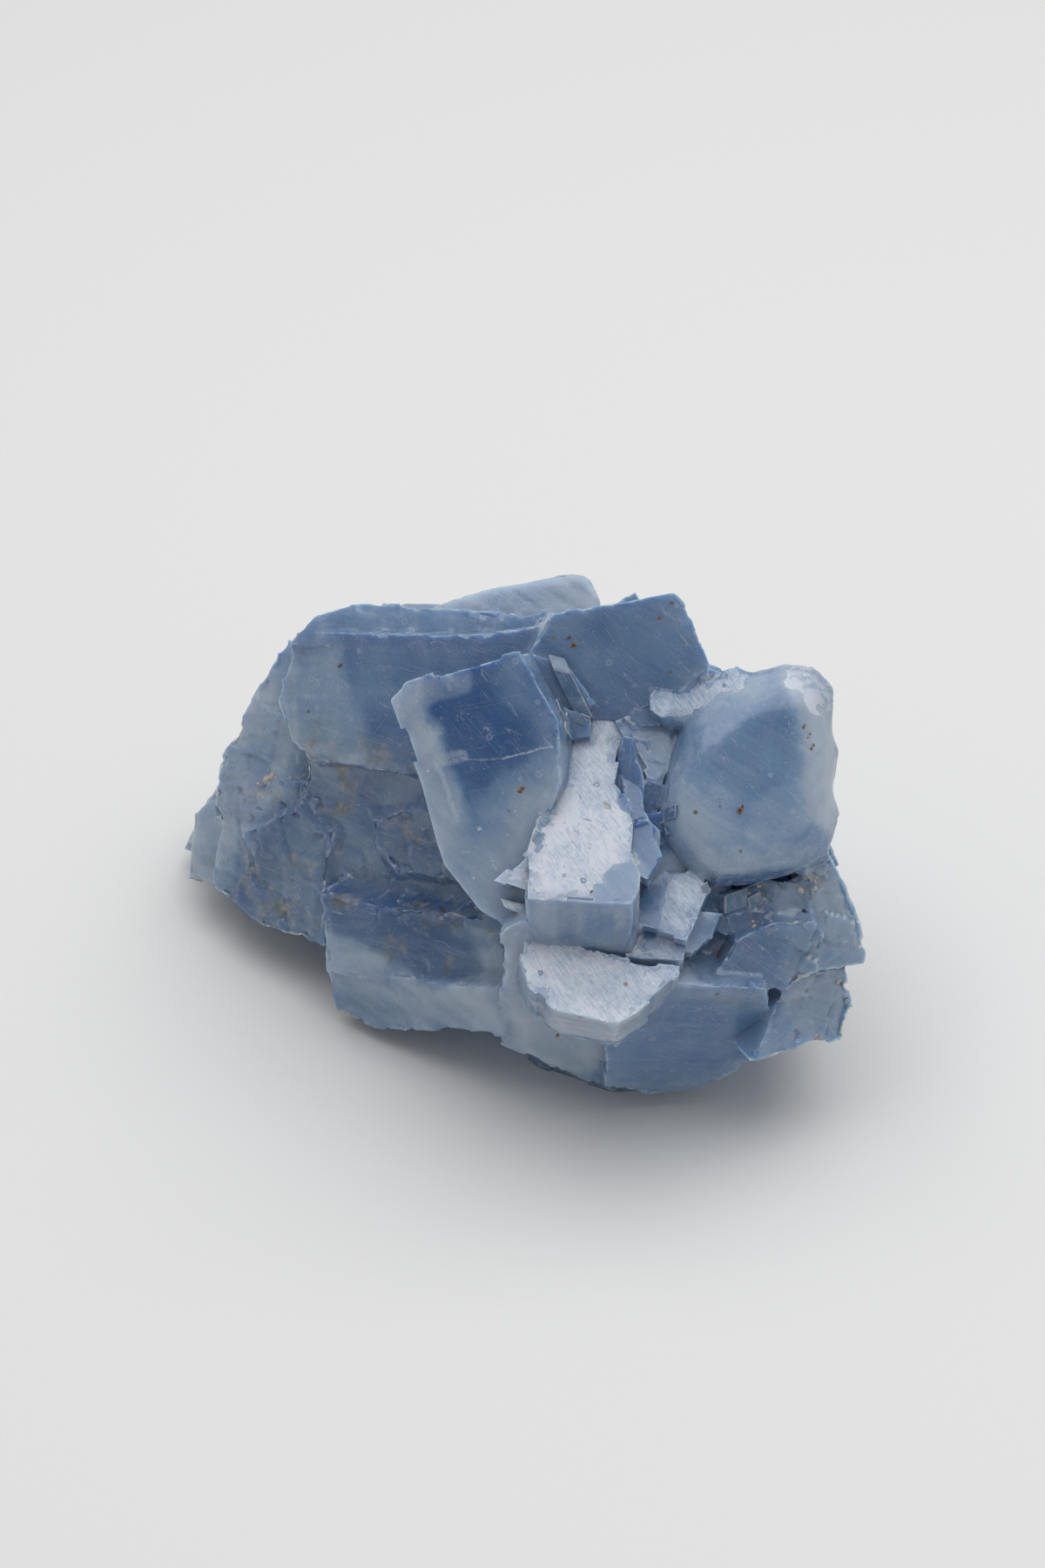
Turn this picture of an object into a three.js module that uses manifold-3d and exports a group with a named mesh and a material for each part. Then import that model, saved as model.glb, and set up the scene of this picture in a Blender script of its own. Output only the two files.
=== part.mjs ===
// A raw piece of blue calcite: cleaved crystals that grew into one another.
//
// Millimetres, +Z up. The piece rests on a flat patch at z = 0, the front is
// towards -Y, and the origin is under the middle of its bounding box.
//
// Every crystal is a cleavage block: a flat outline that faces some way, carried
// back into the piece along a slanted edge, as a calcite rhomb is. The outlines
// have broken, stepped edges. All the blocks are joined into one solid.

import * as THREE from 'three';
import { mergeVertices } from 'three/addons/utils/BufferGeometryUtils.js';
import Module from 'manifold-3d';

// ---- Driving dimensions -------------------------------------------------

const COARSE = 3.2;          // usual run between two steps of a broken edge
const FINE = 1.6;            // the same, on the small bright crystals
const STEP_DEPTH = 0.5;      // deepest usual step of a broken edge
const MIN_EDGE = 1.6;        // an outline edge shorter than this stays straight
const REST_CUT_SIZE = 200;   // side of the block that trims the resting patch
const WELD = 1e-4;           // corners closer than this are one corner
const BLUE = 0x5d7ba6;

// How the crystals of one family lie: [azimuth, elevation] of the face, in degrees.
// Azimuth 0 faces -Y and turns towards +X; elevation is above the horizontal.
const TREAD = [-6, 62];      // the parallel cleavage steps that catch the light
const WEST = -38;            // azimuth of the long left-hand faces

// The rim of the right crystal, and the sizes of the two rounds that swell from it.
const RIGHT_RIM = [[-5, 5.5], [-3, 6.5], [1.5, 9.5], [4.5, 10], [7, 9.5], [8.5, 7.5], [8, 3.5],
  [8.5, 2], [7.5, -1.5], [8, -3.5], [6.5, -7], [4.5, -8], [0.5, -8.5], [-3.5, -8.5], [-5.5, -7],
  [-7.5, -4], [-7.5, -1], [-6.5, 2]];
const SWELL = 0.93;
const CROWN = 0.8;
const scaled = (outline, size) => outline.map(([x, y]) => [x * size, y * size]);

// ---- The crystals -------------------------------------------------------
// at:      where the outline's own zero lies, x y z
// facing:  azimuth and elevation of the face
// outline: corners in the face, [across, up]
// reach:   how far and which way the block runs back from its face, x y z
// spread:  size of the far end over the size of the face
// steps:   scale of the broken steps round the outline, 0 for none
// pitch:   run between two of those steps

const crystals = {
  // Front, left of the middle: the deep blue rhomb.
  deep_rhomb: {
    at: [-2, -15, 33],
    facing: [-20, 24],
    outline: [[-10, 6], [-8.5, 8], [1, 12.5], [5.5, 7], [6.5, 1.5], [5.5, -2.5], [6, -9.5],
      [5.5, -12.5], [1, -11], [-3, -7.5], [-4, -5.5], [-6, -1]],
    reach: [4, 13, -10],
  },

  // Front, middle: the stair of bright cleavage treads.
  upper_tread: {
    at: [6, -19, 31],
    facing: TREAD,
    outline: [[0, 11.5], [1.5, 11.5], [3, 10], [2.5, 5], [4, 3.5], [4.5, 1], [4.5, -1.5],
      [5.5, -3.5], [5.5, -5], [5, -6.5], [2.5, -6.5], [-1.5, -6.5], [-4, -6.5], [-4.5, -2],
      [-4, 1], [-3, 2.5], [-2.5, 5], [-3, 7], [-2, 9], [0, 9.5]],
    reach: [0, 2.8, -12],
    pitch: FINE,
  },
  stair_front: {
    at: [4, -24.5, 28],
    facing: [-8, -13],
    outline: [[-3, -0.5], [0, 0], [3.5, 0], [6.5, 0.5], [6.5, -2.5], [5.5, -6.5], [1.5, -6.5],
      [-2.5, -6]],
    reach: [0.5, 6, -1],
    steps: 0,
  },
  stair_side: {
    at: [10.5, -16.5, 31.5],
    facing: TREAD,
    outline: [[-1.5, 7], [-0.5, 7], [1, 0.5], [3, -4], [2, -6.5], [0, -5.5], [-1, 0]],
    reach: [0, 5, -5],
    steps: 0,
  },
  flake: {
    at: [0.5, -20.5, 27.5],
    facing: TREAD,
    outline: [[-2, -0.5], [1, 3], [1.5, -1.5]],
    reach: [1, 3, -3],
    pitch: FINE,
  },
  flake_bar: {
    at: [0, -21, 25],
    facing: TREAD,
    outline: [[-1, 0.5], [1.5, 0], [1.5, -1], [-0.5, -0.5]],
    reach: [1, 3, -3],
    steps: 0,
  },
  lower_tread: {
    at: [7, -26, 21],
    facing: TREAD,
    outline: [[-6.5, 4.5], [-2.5, 3.5], [2.5, 2], [7.5, 1.5], [7.5, 0.5], [4.5, -3], [2.5, -4.5],
      [0, -4], [-3, -3.5], [-5.5, -1.5], [-6.5, 1]],
    reach: [0, 5, -6.5],
    pitch: FINE,
  },
  lower_tread_corner: {
    at: [12.5, -23.5, 22],
    facing: TREAD,
    outline: [[-3, 1.5], [-2.5, 2.5], [2.5, 1], [2.5, -1], [-2.5, -1]],
    reach: [0, 5, -7],
    steps: 0,
  },
  side_tread: {
    at: [14, -21, 25],
    facing: TREAD,
    outline: [[-3.5, 2.5], [-1, 3], [2, 3.5], [3, 1.5], [2, -2], [1.5, -3.5], [-3.5, -2.5]],
    reach: [0, 5, -7],
    pitch: FINE,
  },
  side_tread_edge: {
    at: [17, -22, 22.5],
    facing: [20, 45],
    outline: [[-1.5, 2], [0.5, 2], [2, 1.5], [0.5, -0.5], [-1.5, -1.5], [-2.5, -1]],
    reach: [-1, 5, -5],
    steps: 0,
  },
  top_tread: {
    at: [16, -10, 39],
    facing: TREAD,
    outline: [[-4, 0], [-3, 1.5], [-0.5, 2], [3, 3.5], [5, 3], [4, 1], [0, -2], [-2, -2.5],
      [-4, -1.5]],
    reach: [0.5, 6, -8],
    pitch: FINE,
  },

  // Between the stair and the right crystal: small wedges around a dark cleft.
  grey_wedge: {
    at: [12.5, -12, 34.5],
    facing: [15, 50],
    outline: [[-2.5, 2], [-3, 3.5], [-0.5, 4], [2.5, 2.5], [2.5, 0], [2, -0.5], [0.5, -2], [0, -3],
      [-1, -2.5]],
    reach: [0, 7, -6],
    pitch: FINE,
  },
  dark_wedge: {
    at: [10, -13, 34],
    facing: [-25, 30],
    outline: [[-1, 2.5], [0, 2.5], [2, -1], [2.5, -4], [1.5, -4.5], [-0.5, -3], [-1, -1]],
    reach: [1, 7, -5],
    steps: 0,
  },
  wedge_fill: {
    at: [10.5, -12.5, 34],
    facing: [0, 40],
    outline: [[-1.5, 2], [1.5, 2], [1.5, -2], [0.5, -2.5], [-1, -2.5]],
    reach: [0, 5, -5],
    steps: 0,
  },
  wedge_foot: {
    at: [12, -14.5, 31.5],
    facing: [10, 20],
    outline: [[0, 2], [1.5, 1], [1.5, 0], [0.5, -1.5], [-0.5, -2], [-1.5, -1.5], [-1.5, 0]],
    reach: [0, 7, -5],
    steps: 0,
  },
  cleft: {
    at: [13.5, -17.5, 27.5],
    facing: [25, 30],
    outline: [[-1, 4], [1, 4], [2.5, 0.5], [3.5, -2.5], [2, -3], [-2.5, -2], [-2.5, 0.5]],
    reach: [1, 6, -5],
    steps: 0,
  },
  wedge_head: {
    at: [11.5, -9.5, 37.5],
    facing: [0, 40],
    outline: [[-1.5, -1], [0, 1], [1.5, 0.5], [1.5, -1.5], [-1, -1.5]],
    reach: [0, 5, -5],
    steps: 0,
  },
  rhomb_root: {
    at: [3.5, -8.5, 39.5],
    facing: [-8, 24],
    outline: [[-2, 2.5], [0.5, 2], [2.5, -1], [2, -2.5], [0.5, -3]],
    reach: [0, 6, -5],
    steps: 0,
  },
  knob: {
    at: [11.5, -19, 29.5],
    facing: [5, 40],
    outline: [[-0.5, 2.5], [0.5, 2.5], [1.5, 1.5], [1.5, 0.5], [1, -1], [-0.5, -3], [-2, -2],
      [-1.5, 1]],
    reach: [0, 7, -6],
    steps: 0,
  },
  glint: {
    at: [14, -16, 30.5],
    facing: TREAD,
    outline: [[0, 1], [1, 0], [0.5, -1], [-1, -0.5]],
    reach: [0, 4, -4],
    steps: 0,
  },
  prism: {
    at: [5.5, -9.5, 39.5],
    facing: [-8, 24],
    outline: [[-1.5, 1.5], [-0.5, 2], [2, -1], [1, -2]],
    reach: [0, 4, -4],
    steps: 0,
  },
  prism_foot: {
    at: [5.5, -11, 37],
    facing: [-8, 30],
    outline: [[-2, 1], [-0.5, 1.5], [1, 1], [1.5, 0.5], [1.5, -1], [-0.5, -1.5], [-1.5, -2]],
    reach: [0, 5, -5],
    steps: 0,
  },

  // Front, right and top.
  right_crystal: {
    at: [20.5, -13.5, 32.5],
    facing: [10, 36],
    outline: RIGHT_RIM,
    reach: [-1, 16, -13],
  },
  right_crystal_swell: {
    at: [20.5, -14.5, 33],
    facing: [10, 36],
    outline: scaled(RIGHT_RIM, SWELL),
    reach: [-0.3, 1.8, -1.4],
    spread: 1.02 / SWELL,
  },
  right_crystal_crown: {
    at: [20.5, -15.5, 33.5],
    facing: [10, 36],
    outline: scaled(RIGHT_RIM, CROWN),
    reach: [-0.3, 1.8, -1.4],
    spread: 1.02 * SWELL / CROWN,
  },
  top_rhomb: {
    at: [13, -8, 43],
    facing: [-8, 18],
    outline: [[-9.5, 2.5], [-4.5, 3.5], [1, 5], [2, 4], [4.5, -1.5], [2.5, -3.5], [-1, -5.5],
      [-3.5, -7], [-7, -7], [-11.5, -1.5]],
    reach: [-2, 12, -9],
  },
  thin_rhomb: {
    at: [8.5, 4, 40],
    facing: [-8, 30],
    outline: [[-2, -1.5], [2.5, 1], [3, 0], [1, -6], [-3, -6]],
    reach: [1, 8, -8],
    steps: 0,
  },

  // Left: the long crystal with a round end, over the shaded left body.
  long_crystal: {
    at: [-3.5, -2, 33.5],
    facing: [WEST, 22],
    outline: [[-20.5, -7.5], [-20, -1], [-14.5, 1], [6, 9], [7.5, 6], [3.5, -6.5], [-4, -9],
      [-15, -12], [-18, -11]],
    reach: [12, 14, -8],
  },
  long_crystal_top: {
    at: [-5, 6.5, 37],
    facing: [-30, 48],
    outline: [[-14.5, -7.5], [-13, -4], [-10, -2], [-7, -1], [8.5, 3], [10, 0.5], [-0.5, -3.5],
      [-9, -6]],
    reach: [6, 8, -14],
  },
  left_body: {
    at: [-9, -2.5, 19],
    facing: [WEST, 15],
    outline: [[-13.5, 2.5], [-2, 9], [7, 9.5], [11, -4.5], [0.5, -8.5], [-8.5, -10.5], [-11, -6.5]],
    reach: [13, 14, -2],
  },
  left_plate: {
    at: [-10, -2.5, 18],
    facing: [WEST, 15],
    outline: [[-4, 1], [1.5, 5], [5.5, 4], [5, -1.5], [0, -3], [-2.5, -1.5]],
    reach: [4, 5, -1],
    pitch: FINE,
  },
  left_plate_far: {
    at: [-21.5, 4, 11.5],
    facing: [WEST, 15],
    outline: [[-5, 1], [1.5, 6.5], [5.5, 4], [4.5, -3], [-0.5, -4.5], [-3, -3]],
    reach: [4, 5, -1],
    pitch: FINE,
  },
  left_shelf: {
    at: [-9, -9, 13],
    facing: [WEST, 22],
    outline: [[-11, 0], [-1.5, 1.5], [9, 5.5], [11, -1], [1, -4.5], [-8, -7.5]],
    reach: [20, 20, 0],
  },
  left_slab: {
    at: [-8.5, -12, 9.5],
    facing: [WEST, -3],
    outline: [[-11, -3], [-1, 0.5], [10.5, 5], [10, -1.5], [-5.5, -8], [-10, -8]],
    reach: [20, 20, 1],
  },

  // Far left end.
  far_upper: {
    at: [-24.5, 12, 18.5],
    facing: [-45, 30],
    outline: [[-3, -2.5], [-2, 4.5], [0, 11], [5, 10.5], [10, 1], [4.5, -4.5], [-1.5, -7]],
    reach: [14, 10, -4],
  },
  far_body: {
    at: [-23, 5.5, 11],
    facing: [-45, 20],
    outline: [[-7, 4], [2, 9], [7.5, 5.5], [10, -5], [6.5, -5.5], [2, -6.5], [-2.5, -6], [-5.5, -6]],
    reach: [18, 14, 0],
  },
  far_end: {
    at: [-29, 12.5, 7],
    facing: [-45, 25],
    outline: [[-3, 2.5], [-0.5, 5], [3, 2.5], [4.5, -2.5], [-1, -4.5], [-2, 0]],
    reach: [8, 5, 0],
  },

  // Lower right and the front foot.
  right_foot: {
    at: [16, -25, 19.5],
    facing: [8, -21],
    outline: [[-8.5, -2], [-4.5, 0.5], [-1.5, 0], [6.5, -2], [7.5, -8.5], [7.5, -13], [6, -14.5],
      [3.5, -17], [1.5, -18.5], [-3, -18.5], [-7, -16.5]],
    reach: [-2, 18, 0],
  },
  right_foot_top: {
    at: [22, -21, 19.5],
    facing: [6, 20],
    outline: [[-2.5, 1.5], [1, 3], [4.5, 3], [5.5, 1.5], [5, -2], [2, -3.5], [-5, -2.5]],
    reach: [-2, 12, -4],
  },
  recess_floor: {
    at: [17.5, -19.5, 18],
    facing: [10, 10],
    outline: [[-3, 1], [0.5, 3.5], [2.5, 1.5], [1, -3], [-3, -2.5]],
    reach: [-2, 10, -2],
    steps: 0,
  },
  ledge_root: {
    at: [18, -18.5, 23],
    facing: [20, 30],
    outline: [[-2, 3], [1.5, 2], [2, -2], [0.5, -3], [-2.5, -1.5]],
    reach: [0, 7, -5],
    steps: 0,
  },
  ledge_foot: {
    at: [21, -19, 21.5],
    facing: [8, 20],
    outline: [[-2.5, 1], [2.5, 1], [2.5, -1.5], [-1.5, -1.5]],
    reach: [0, 7, -4],
    steps: 0,
  },
  right_ledge: {
    at: [22, -18, 23],
    facing: [10, 30],
    outline: [[-4, 1], [-2, 1.5], [0.5, 2], [2, 1.5], [5, 2.5], [5, 0], [3, -1.5], [0, -1.5],
      [-3.5, -1]],
    reach: [-1, 10, -6],
  },
  right_shoulder: {
    at: [28.5, -18, 20.5],
    facing: [30, 25],
    outline: [[-2, 5.5], [1, 6], [2, 2.5], [2.5, -0.5], [2.5, -3], [2, -4.5], [-3, -3.5], [-2.5, 1]],
    reach: [-6, 12, -4],
  },
  right_heel: {
    at: [26, -21, 14.5],
    facing: [25, 12],
    outline: [[-2, 2.5], [1.5, 2.5], [4, 2], [4.5, -2], [3.5, -5], [-3, -4.5], [-6, -4.5],
      [-4, -1.5]],
    reach: [-7, 14, -1],
  },
  front_foot: {
    at: [2.5, -22.5, 20.5],
    facing: [-15, -18],
    outline: [[-3.5, 2.5], [-1, 5], [1.5, 0.5], [7, -4.5], [5, -19.5], [1, -18], [-2, -16.5],
      [-5, -15], [-4.5, -7.5]],
    reach: [4, 18, 0],
  },

  // Behind: the back lump and the broad back faces.
  back_lump: {
    at: [2, 22, 29.5],
    facing: [0, 45],
    outline: [[-10, -1.5], [-7.5, -0.5], [-4, 0.5], [-1, 1], [3.5, 2], [5.5, 1.5], [6.5, -1],
      [6, -3.5], [-9, -3.5]],
    reach: [0, 2, -20],
  },
  back_rhomb: {
    at: [17, 10, 20],
    facing: [125, 28],
    outline: [[-14, -8], [-12, 8], [-4, 11], [9, 8], [13, -6], [4, -10]],
    reach: [-13, -9, -4],
  },
  back_rhomb_plate: {
    at: [17.5, 10.5, 20.5],
    facing: [125, 28],
    outline: [[-13, -7], [-11, 6], [-6, 8.5], [2, 4], [0, -8]],
    reach: [-4, -3, -1],
  },
  back_low: {
    at: [12, 16, 9],
    facing: [140, -8],
    outline: [[-16, -5], [-14, 6], [0, 7], [11, 5], [12, -4], [2, -7]],
    reach: [-14, -14, 0],
  },
  back_wall: {
    at: [0, 27, 15],
    facing: [170, 15],
    outline: [[-12, -8], [-8, 9], [8, 8], [10, 2], [7, -9], [-3, -11]],
    reach: [0, -14, 0],
  },
  back_wall_plate: {
    at: [-1, 28, 14],
    facing: [170, 15],
    outline: [[-9, -9], [-5, 6], [4, 7], [3, -1], [6, -4], [4, -10]],
    reach: [0, -4, 0],
  },
  back_left: {
    at: [-14, 24, 13],
    facing: [-155, 25],
    outline: [[-11, -9], [-8, 6], [1, 11], [10, 6], [12, -5], [3, -11]],
    reach: [7, -14, -3],
  },
  back_left_plate: {
    at: [-14, 25, 13.5],
    facing: [-155, 25],
    outline: [[-4, -10], [-3, 6], [4, 7], [9, 3], [9, -6], [3, -9]],
    reach: [2, -4, -1],
  },
  far_back: {
    at: [-28.5, 18.5, 8],
    facing: [-105, 25],
    outline: [[-7, -4], [-6, 4], [0, 8], [2.5, 4], [3.5, -3], [0, -7]],
    reach: [14, -4, -1],
  },
  right_flank: {
    at: [27, -8, 16],
    facing: [95, 12],
    outline: [[-9, -7], [-8, 7], [0, 9], [9, 5], [10, -5], [2, -8]],
    reach: [-13, 1, 0],
  },
  right_back: {
    at: [25, -1.5, 26],
    facing: [100, 22],
    outline: [[-10, -8], [-8, 5], [-1, 9], [8, 5], [10, -6]],
    reach: [-12, 1, -2],
  },
  right_back_plate: {
    at: [25.5, -1, 25.5],
    facing: [100, 22],
    outline: [[-6, -8], [-5, 3], [1, 6], [3, 1], [8, -1], [8, -7]],
    reach: [-4, 0, -1],
  },
  top_back: {
    at: [14, 1, 35],
    facing: [150, 40],
    outline: [[-8, -9], [-7, 4], [6, 7], [10, -6]],
    reach: [-5, -8, -8],
  },
  top_back_plate: {
    at: [14.5, 2, 35.5],
    facing: [150, 40],
    outline: [[-6, -9], [-5, 1], [2, 3], [4, -8]],
    reach: [-1, -3, -3],
  },

  // The body that everything grew from, and the face it rests on.
  wedge_root: {
    at: [12, -10.5, 34],
    facing: [0, 40],
    outline: [[-8, -5], [-8, 3], [7, 4], [7, -5]],
    reach: [0, 8, -9],
    steps: 0,
  },
  core: {
    at: [0, 6, 27],
    facing: [0, 90],
    outline: [[-12, -1], [-6, -8], [4, -16], [18, -16], [20, -4], [14, 10], [4, 18], [-10, 18],
      [-18, 12]],
    reach: [0, 0, -24],
    steps: 0,
  },
  rest: {
    at: [2, 2, 0],
    facing: [0, -90],
    outline: [[-14, -6], [-11, 5], [-3.5, 9], [0.5, 14], [7, 17.5], [13, 17], [15.5, 13.5], [14, 4],
      [13, -8], [2, -14]],
    reach: [0, 0, 12],
    spread: 1.25,
  },
};

// ---- Geometry -----------------------------------------------------------

const DEGREE = Math.PI / 180;
const STEP_WANDER = 0.6;     // how far a step strays from even spacing, in pitches

// A repeatable row of numbers: each is the last one times SCALE plus SHIFT, modulo RANGE.
const DICE = { scale: 1103515245, shift: 12345, range: 2 ** 31, start: 104729, stride: 7919 };

// The axes of a face: across it, up it, and out of it.
function faceAxes([azimuth, elevation]) {
  const az = azimuth * DEGREE;
  const el = elevation * DEGREE;
  const out = new THREE.Vector3(
    Math.sin(az) * Math.cos(el), -Math.cos(az) * Math.cos(el), Math.sin(el));
  const across = new THREE.Vector3(Math.cos(az), Math.sin(az), 0);
  return { across, up: out.clone().cross(across), out };
}

// Numbers from 0 to 1 that differ from block to block and never change.
function makeDice(seed) {
  let state = seed * DICE.stride + DICE.start;
  return () => {
    state = (state * DICE.scale + DICE.shift) % DICE.range;
    return state / DICE.range;
  };
}

// Break each long edge of a clockwise outline into small inward steps.
function breakEdges(corners, scale, pitch, dice) {
  const points = [];
  corners.forEach((corner, index) => {
    const start = new THREE.Vector2(...corner);
    const end = new THREE.Vector2(...corners[(index + 1) % corners.length]);
    const length = start.distanceTo(end);
    points.push(start);
    if (length < MIN_EDGE || scale === 0) return;
    const along = end.clone().sub(start).normalize();
    const inward = new THREE.Vector2(along.y, -along.x);
    const count = Math.floor(length / pitch);
    let depth = 0;
    for (let step = 1; step <= count; step += 1) {
      const run = (step - 0.5 + STEP_WANDER * (dice() - 0.5)) * length / count;
      const nextDepth = step === count ? 0 : STEP_DEPTH * scale * dice();
      for (const inset of [depth, nextDepth]) {
        points.push(start.clone().addScaledVector(along, run).addScaledVector(inward, inset));
      }
      depth = nextDepth;
    }
  });
  return points;
}

// One cleavage block as a closed geometry.
function blockGeometry(crystal, seed) {
  const { at, facing, outline, reach, spread = 1, steps = 1, pitch = COARSE } = crystal;
  const { across, up } = faceAxes(facing);
  const clockwise = THREE.ShapeUtils.isClockWise(outline.map(([x, y]) => new THREE.Vector2(x, y)));
  const ordered = clockwise ? outline : [...outline].reverse();
  const shape = new THREE.Shape(breakEdges(ordered, steps, pitch, makeDice(seed)));
  const geometry = new THREE.ExtrudeGeometry(shape, { depth: 1, bevelEnabled: false, steps: 1 });
  const start = new THREE.Vector3(...at);
  const back = new THREE.Vector3(...reach);
  const position = geometry.attributes.position;
  for (let i = 0; i < position.count; i += 1) {
    const far = 1 - position.getZ(i);
    const size = 1 + (spread - 1) * far;
    const point = start.clone()
      .addScaledVector(across, position.getX(i) * size)
      .addScaledVector(up, position.getY(i) * size)
      .addScaledVector(back, far);
    position.setXYZ(i, point.x, point.y, point.z);
  }
  geometry.deleteAttribute('normal');
  geometry.deleteAttribute('uv');
  return mergeVertices(geometry, WELD);
}

const wasm = await Module();
wasm.setup();

function toManifold(geometry) {
  return new wasm.Manifold(new wasm.Mesh({
    numProp: 3,
    vertProperties: new Float32Array(geometry.attributes.position.array),
    triVerts: new Uint32Array(geometry.index.array),
  }));
}

function toGeometry(solid) {
  const mesh = solid.getMesh();
  const corners = new Float32Array(mesh.vertProperties);
  const geometry = new THREE.BufferGeometry();
  geometry.setAttribute('position', new THREE.BufferAttribute(corners, 3));
  geometry.setIndex(new THREE.BufferAttribute(new Uint32Array(mesh.triVerts), 1));
  return geometry;
}

// The outer skin alone, so that a pocket sealed between crystals is solid.
function withoutPockets(solid) {
  return solid.decompose().reduce((most, body) => (body.volume() > most.volume() ? body : most));
}

// Everything below the plane that the piece rests on.
function belowRest() {
  const box = new THREE.BoxGeometry(REST_CUT_SIZE, REST_CUT_SIZE, REST_CUT_SIZE);
  box.translate(0, 0, -REST_CUT_SIZE / 2);
  box.deleteAttribute('normal');
  box.deleteAttribute('uv');
  return toManifold(mergeVertices(box, WELD));
}

// Join all the crystals, trim them at the resting patch and centre them over the origin.
function clusterGeometry() {
  const solids = Object.values(crystals).map(
    (crystal, index) => toManifold(blockGeometry(crystal, index + 1)));
  const joined = solids.reduce((whole, solid) => whole.add(solid));
  const geometry = toGeometry(withoutPockets(joined.subtract(belowRest())));
  geometry.computeBoundingBox();
  const { min, max } = geometry.boundingBox;
  geometry.translate(-(min.x + max.x) / 2, -(min.y + max.y) / 2, -min.z);
  geometry.computeVertexNormals();
  return geometry;
}

const cluster = new THREE.Mesh(
  clusterGeometry(),
  new THREE.MeshStandardMaterial({ color: BLUE, roughness: 0.35, metalness: 0 }));
cluster.name = 'calcite_cluster';

const group = new THREE.Group();
group.add(cluster);

export default group;
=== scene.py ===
"""Raw blue calcite: a rough piece of rhombs grown into one another, and a pale studio to see it in."""
import math
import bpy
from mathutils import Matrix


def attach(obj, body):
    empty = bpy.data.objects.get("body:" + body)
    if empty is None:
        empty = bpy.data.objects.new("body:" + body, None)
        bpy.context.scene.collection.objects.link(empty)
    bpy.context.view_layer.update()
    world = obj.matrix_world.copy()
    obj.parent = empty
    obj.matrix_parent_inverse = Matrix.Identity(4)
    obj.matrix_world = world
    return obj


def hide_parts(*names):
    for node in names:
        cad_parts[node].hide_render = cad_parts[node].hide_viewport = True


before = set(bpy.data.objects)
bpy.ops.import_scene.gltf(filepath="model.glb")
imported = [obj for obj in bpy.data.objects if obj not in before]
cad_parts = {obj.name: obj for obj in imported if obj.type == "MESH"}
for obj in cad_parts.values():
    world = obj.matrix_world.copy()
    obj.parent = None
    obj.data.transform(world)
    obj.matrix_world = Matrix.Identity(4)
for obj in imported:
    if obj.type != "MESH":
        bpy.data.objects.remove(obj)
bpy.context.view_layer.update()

from types import SimpleNamespace

import bmesh
import bpy
import numpy as np
from bpy.props import FloatProperty, FloatVectorProperty, PointerProperty
from mathutils import Matrix, Vector
from mathutils.bvhtree import BVHTree
from mathutils.geometry import delaunay_2d_cdt, tessellate_polygon
from mathutils.kdtree import KDTree

bl_info = {
    "name": "Raw blue calcite",
    "version": (1, 0, 0),
    "blender": (4, 5, 0),
    "location": "3D View > Sidebar > Calcite",
    "description": "Builds a raw piece of blue calcite with its broken edges, grains and a studio",
    "category": "Add Mesh",
}

MM = 0.001
CALCITE_IOR = 1.6                              # between calcite's two indices, 1.49 and 1.66
BODY_TINT, BODY_DENSITY = "86a9da", 30.0       # what the clear body takes from light passing through
DULL_GOLD = "94642a"                           # the gleam of the brown iron grains
SOFTBOX_RADIANCE = 1.7                         # W per square metre and steradian
ROOM_LIGHT = 0.42                              # strength of the white room
NODE = "calcite_cluster"
SHARP_ANGLE = 18          # a bend over this many degrees is an edge
EDGE_REACH = 4.0          # mm from an edge past which nothing changes
SKIN_DEPTH = 0.03         # mm that the whole surface lies inside the CAD node
FACES_APART = 7.3         # mm between the patterns of two faces
FLOOR_BAND = 0.05         # mm above the floor within which the resting face stays flat
STAIR_CENTRE = np.array([10.0, -20.5, 29.0])   # mm, the middle of the bright treads
RIGHT_MIDDLE = np.array([20.9, -14.2, 32.9])   # mm, the middle of the right crystal's rim
RIGHT_HALF_SPAN = (8.0, 9.2)                   # mm, half its width and half its height
RIGHT_SQUARENESS = 2.6                         # 2 would make its outline an ellipse, more is squarer
RIGHT_ROUNDS, SOFT_ROUNDS = 80, 12             # rounds of smoothing there, and on other soft edges


# ---- Colours ---------------------------------------------------------------

def linear(hex_colour):
    """An sRGB hex colour such as 5d7ba6 as linear red, green, blue and alpha."""
    channels = [int(hex_colour[i:i + 2], 16) / 255 for i in (0, 2, 4)]
    return tuple(c / 12.92 if c <= 0.04045 else ((c + 0.055) / 1.055) ** 2.4 for c in channels) + (1.0,)


# ---- Repeatable noise ------------------------------------------------------

def dice(*cells, seed=0):
    """A number from 0 to 1 for each whole-numbered cell, always the same for the same cell."""
    # The large numbers are those of common hash functions.
    mixed = np.full(np.shape(cells[0]), 2166136261 + seed * 7919, dtype=np.uint64)
    for cell in cells:
        mixed ^= np.asarray(cell).astype(np.int64).astype(np.uint64) & np.uint64(0xFFFFFFFF)
        mixed = (mixed * np.uint64(16777619)) & np.uint64(0xFFFFFFFF)
        mixed ^= mixed >> np.uint64(15)
        mixed = (mixed * np.uint64(2246822519)) & np.uint64(0xFFFFFFFF)
        mixed ^= mixed >> np.uint64(13)
    return mixed.astype(np.float64) / 0xFFFFFFFF


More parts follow.
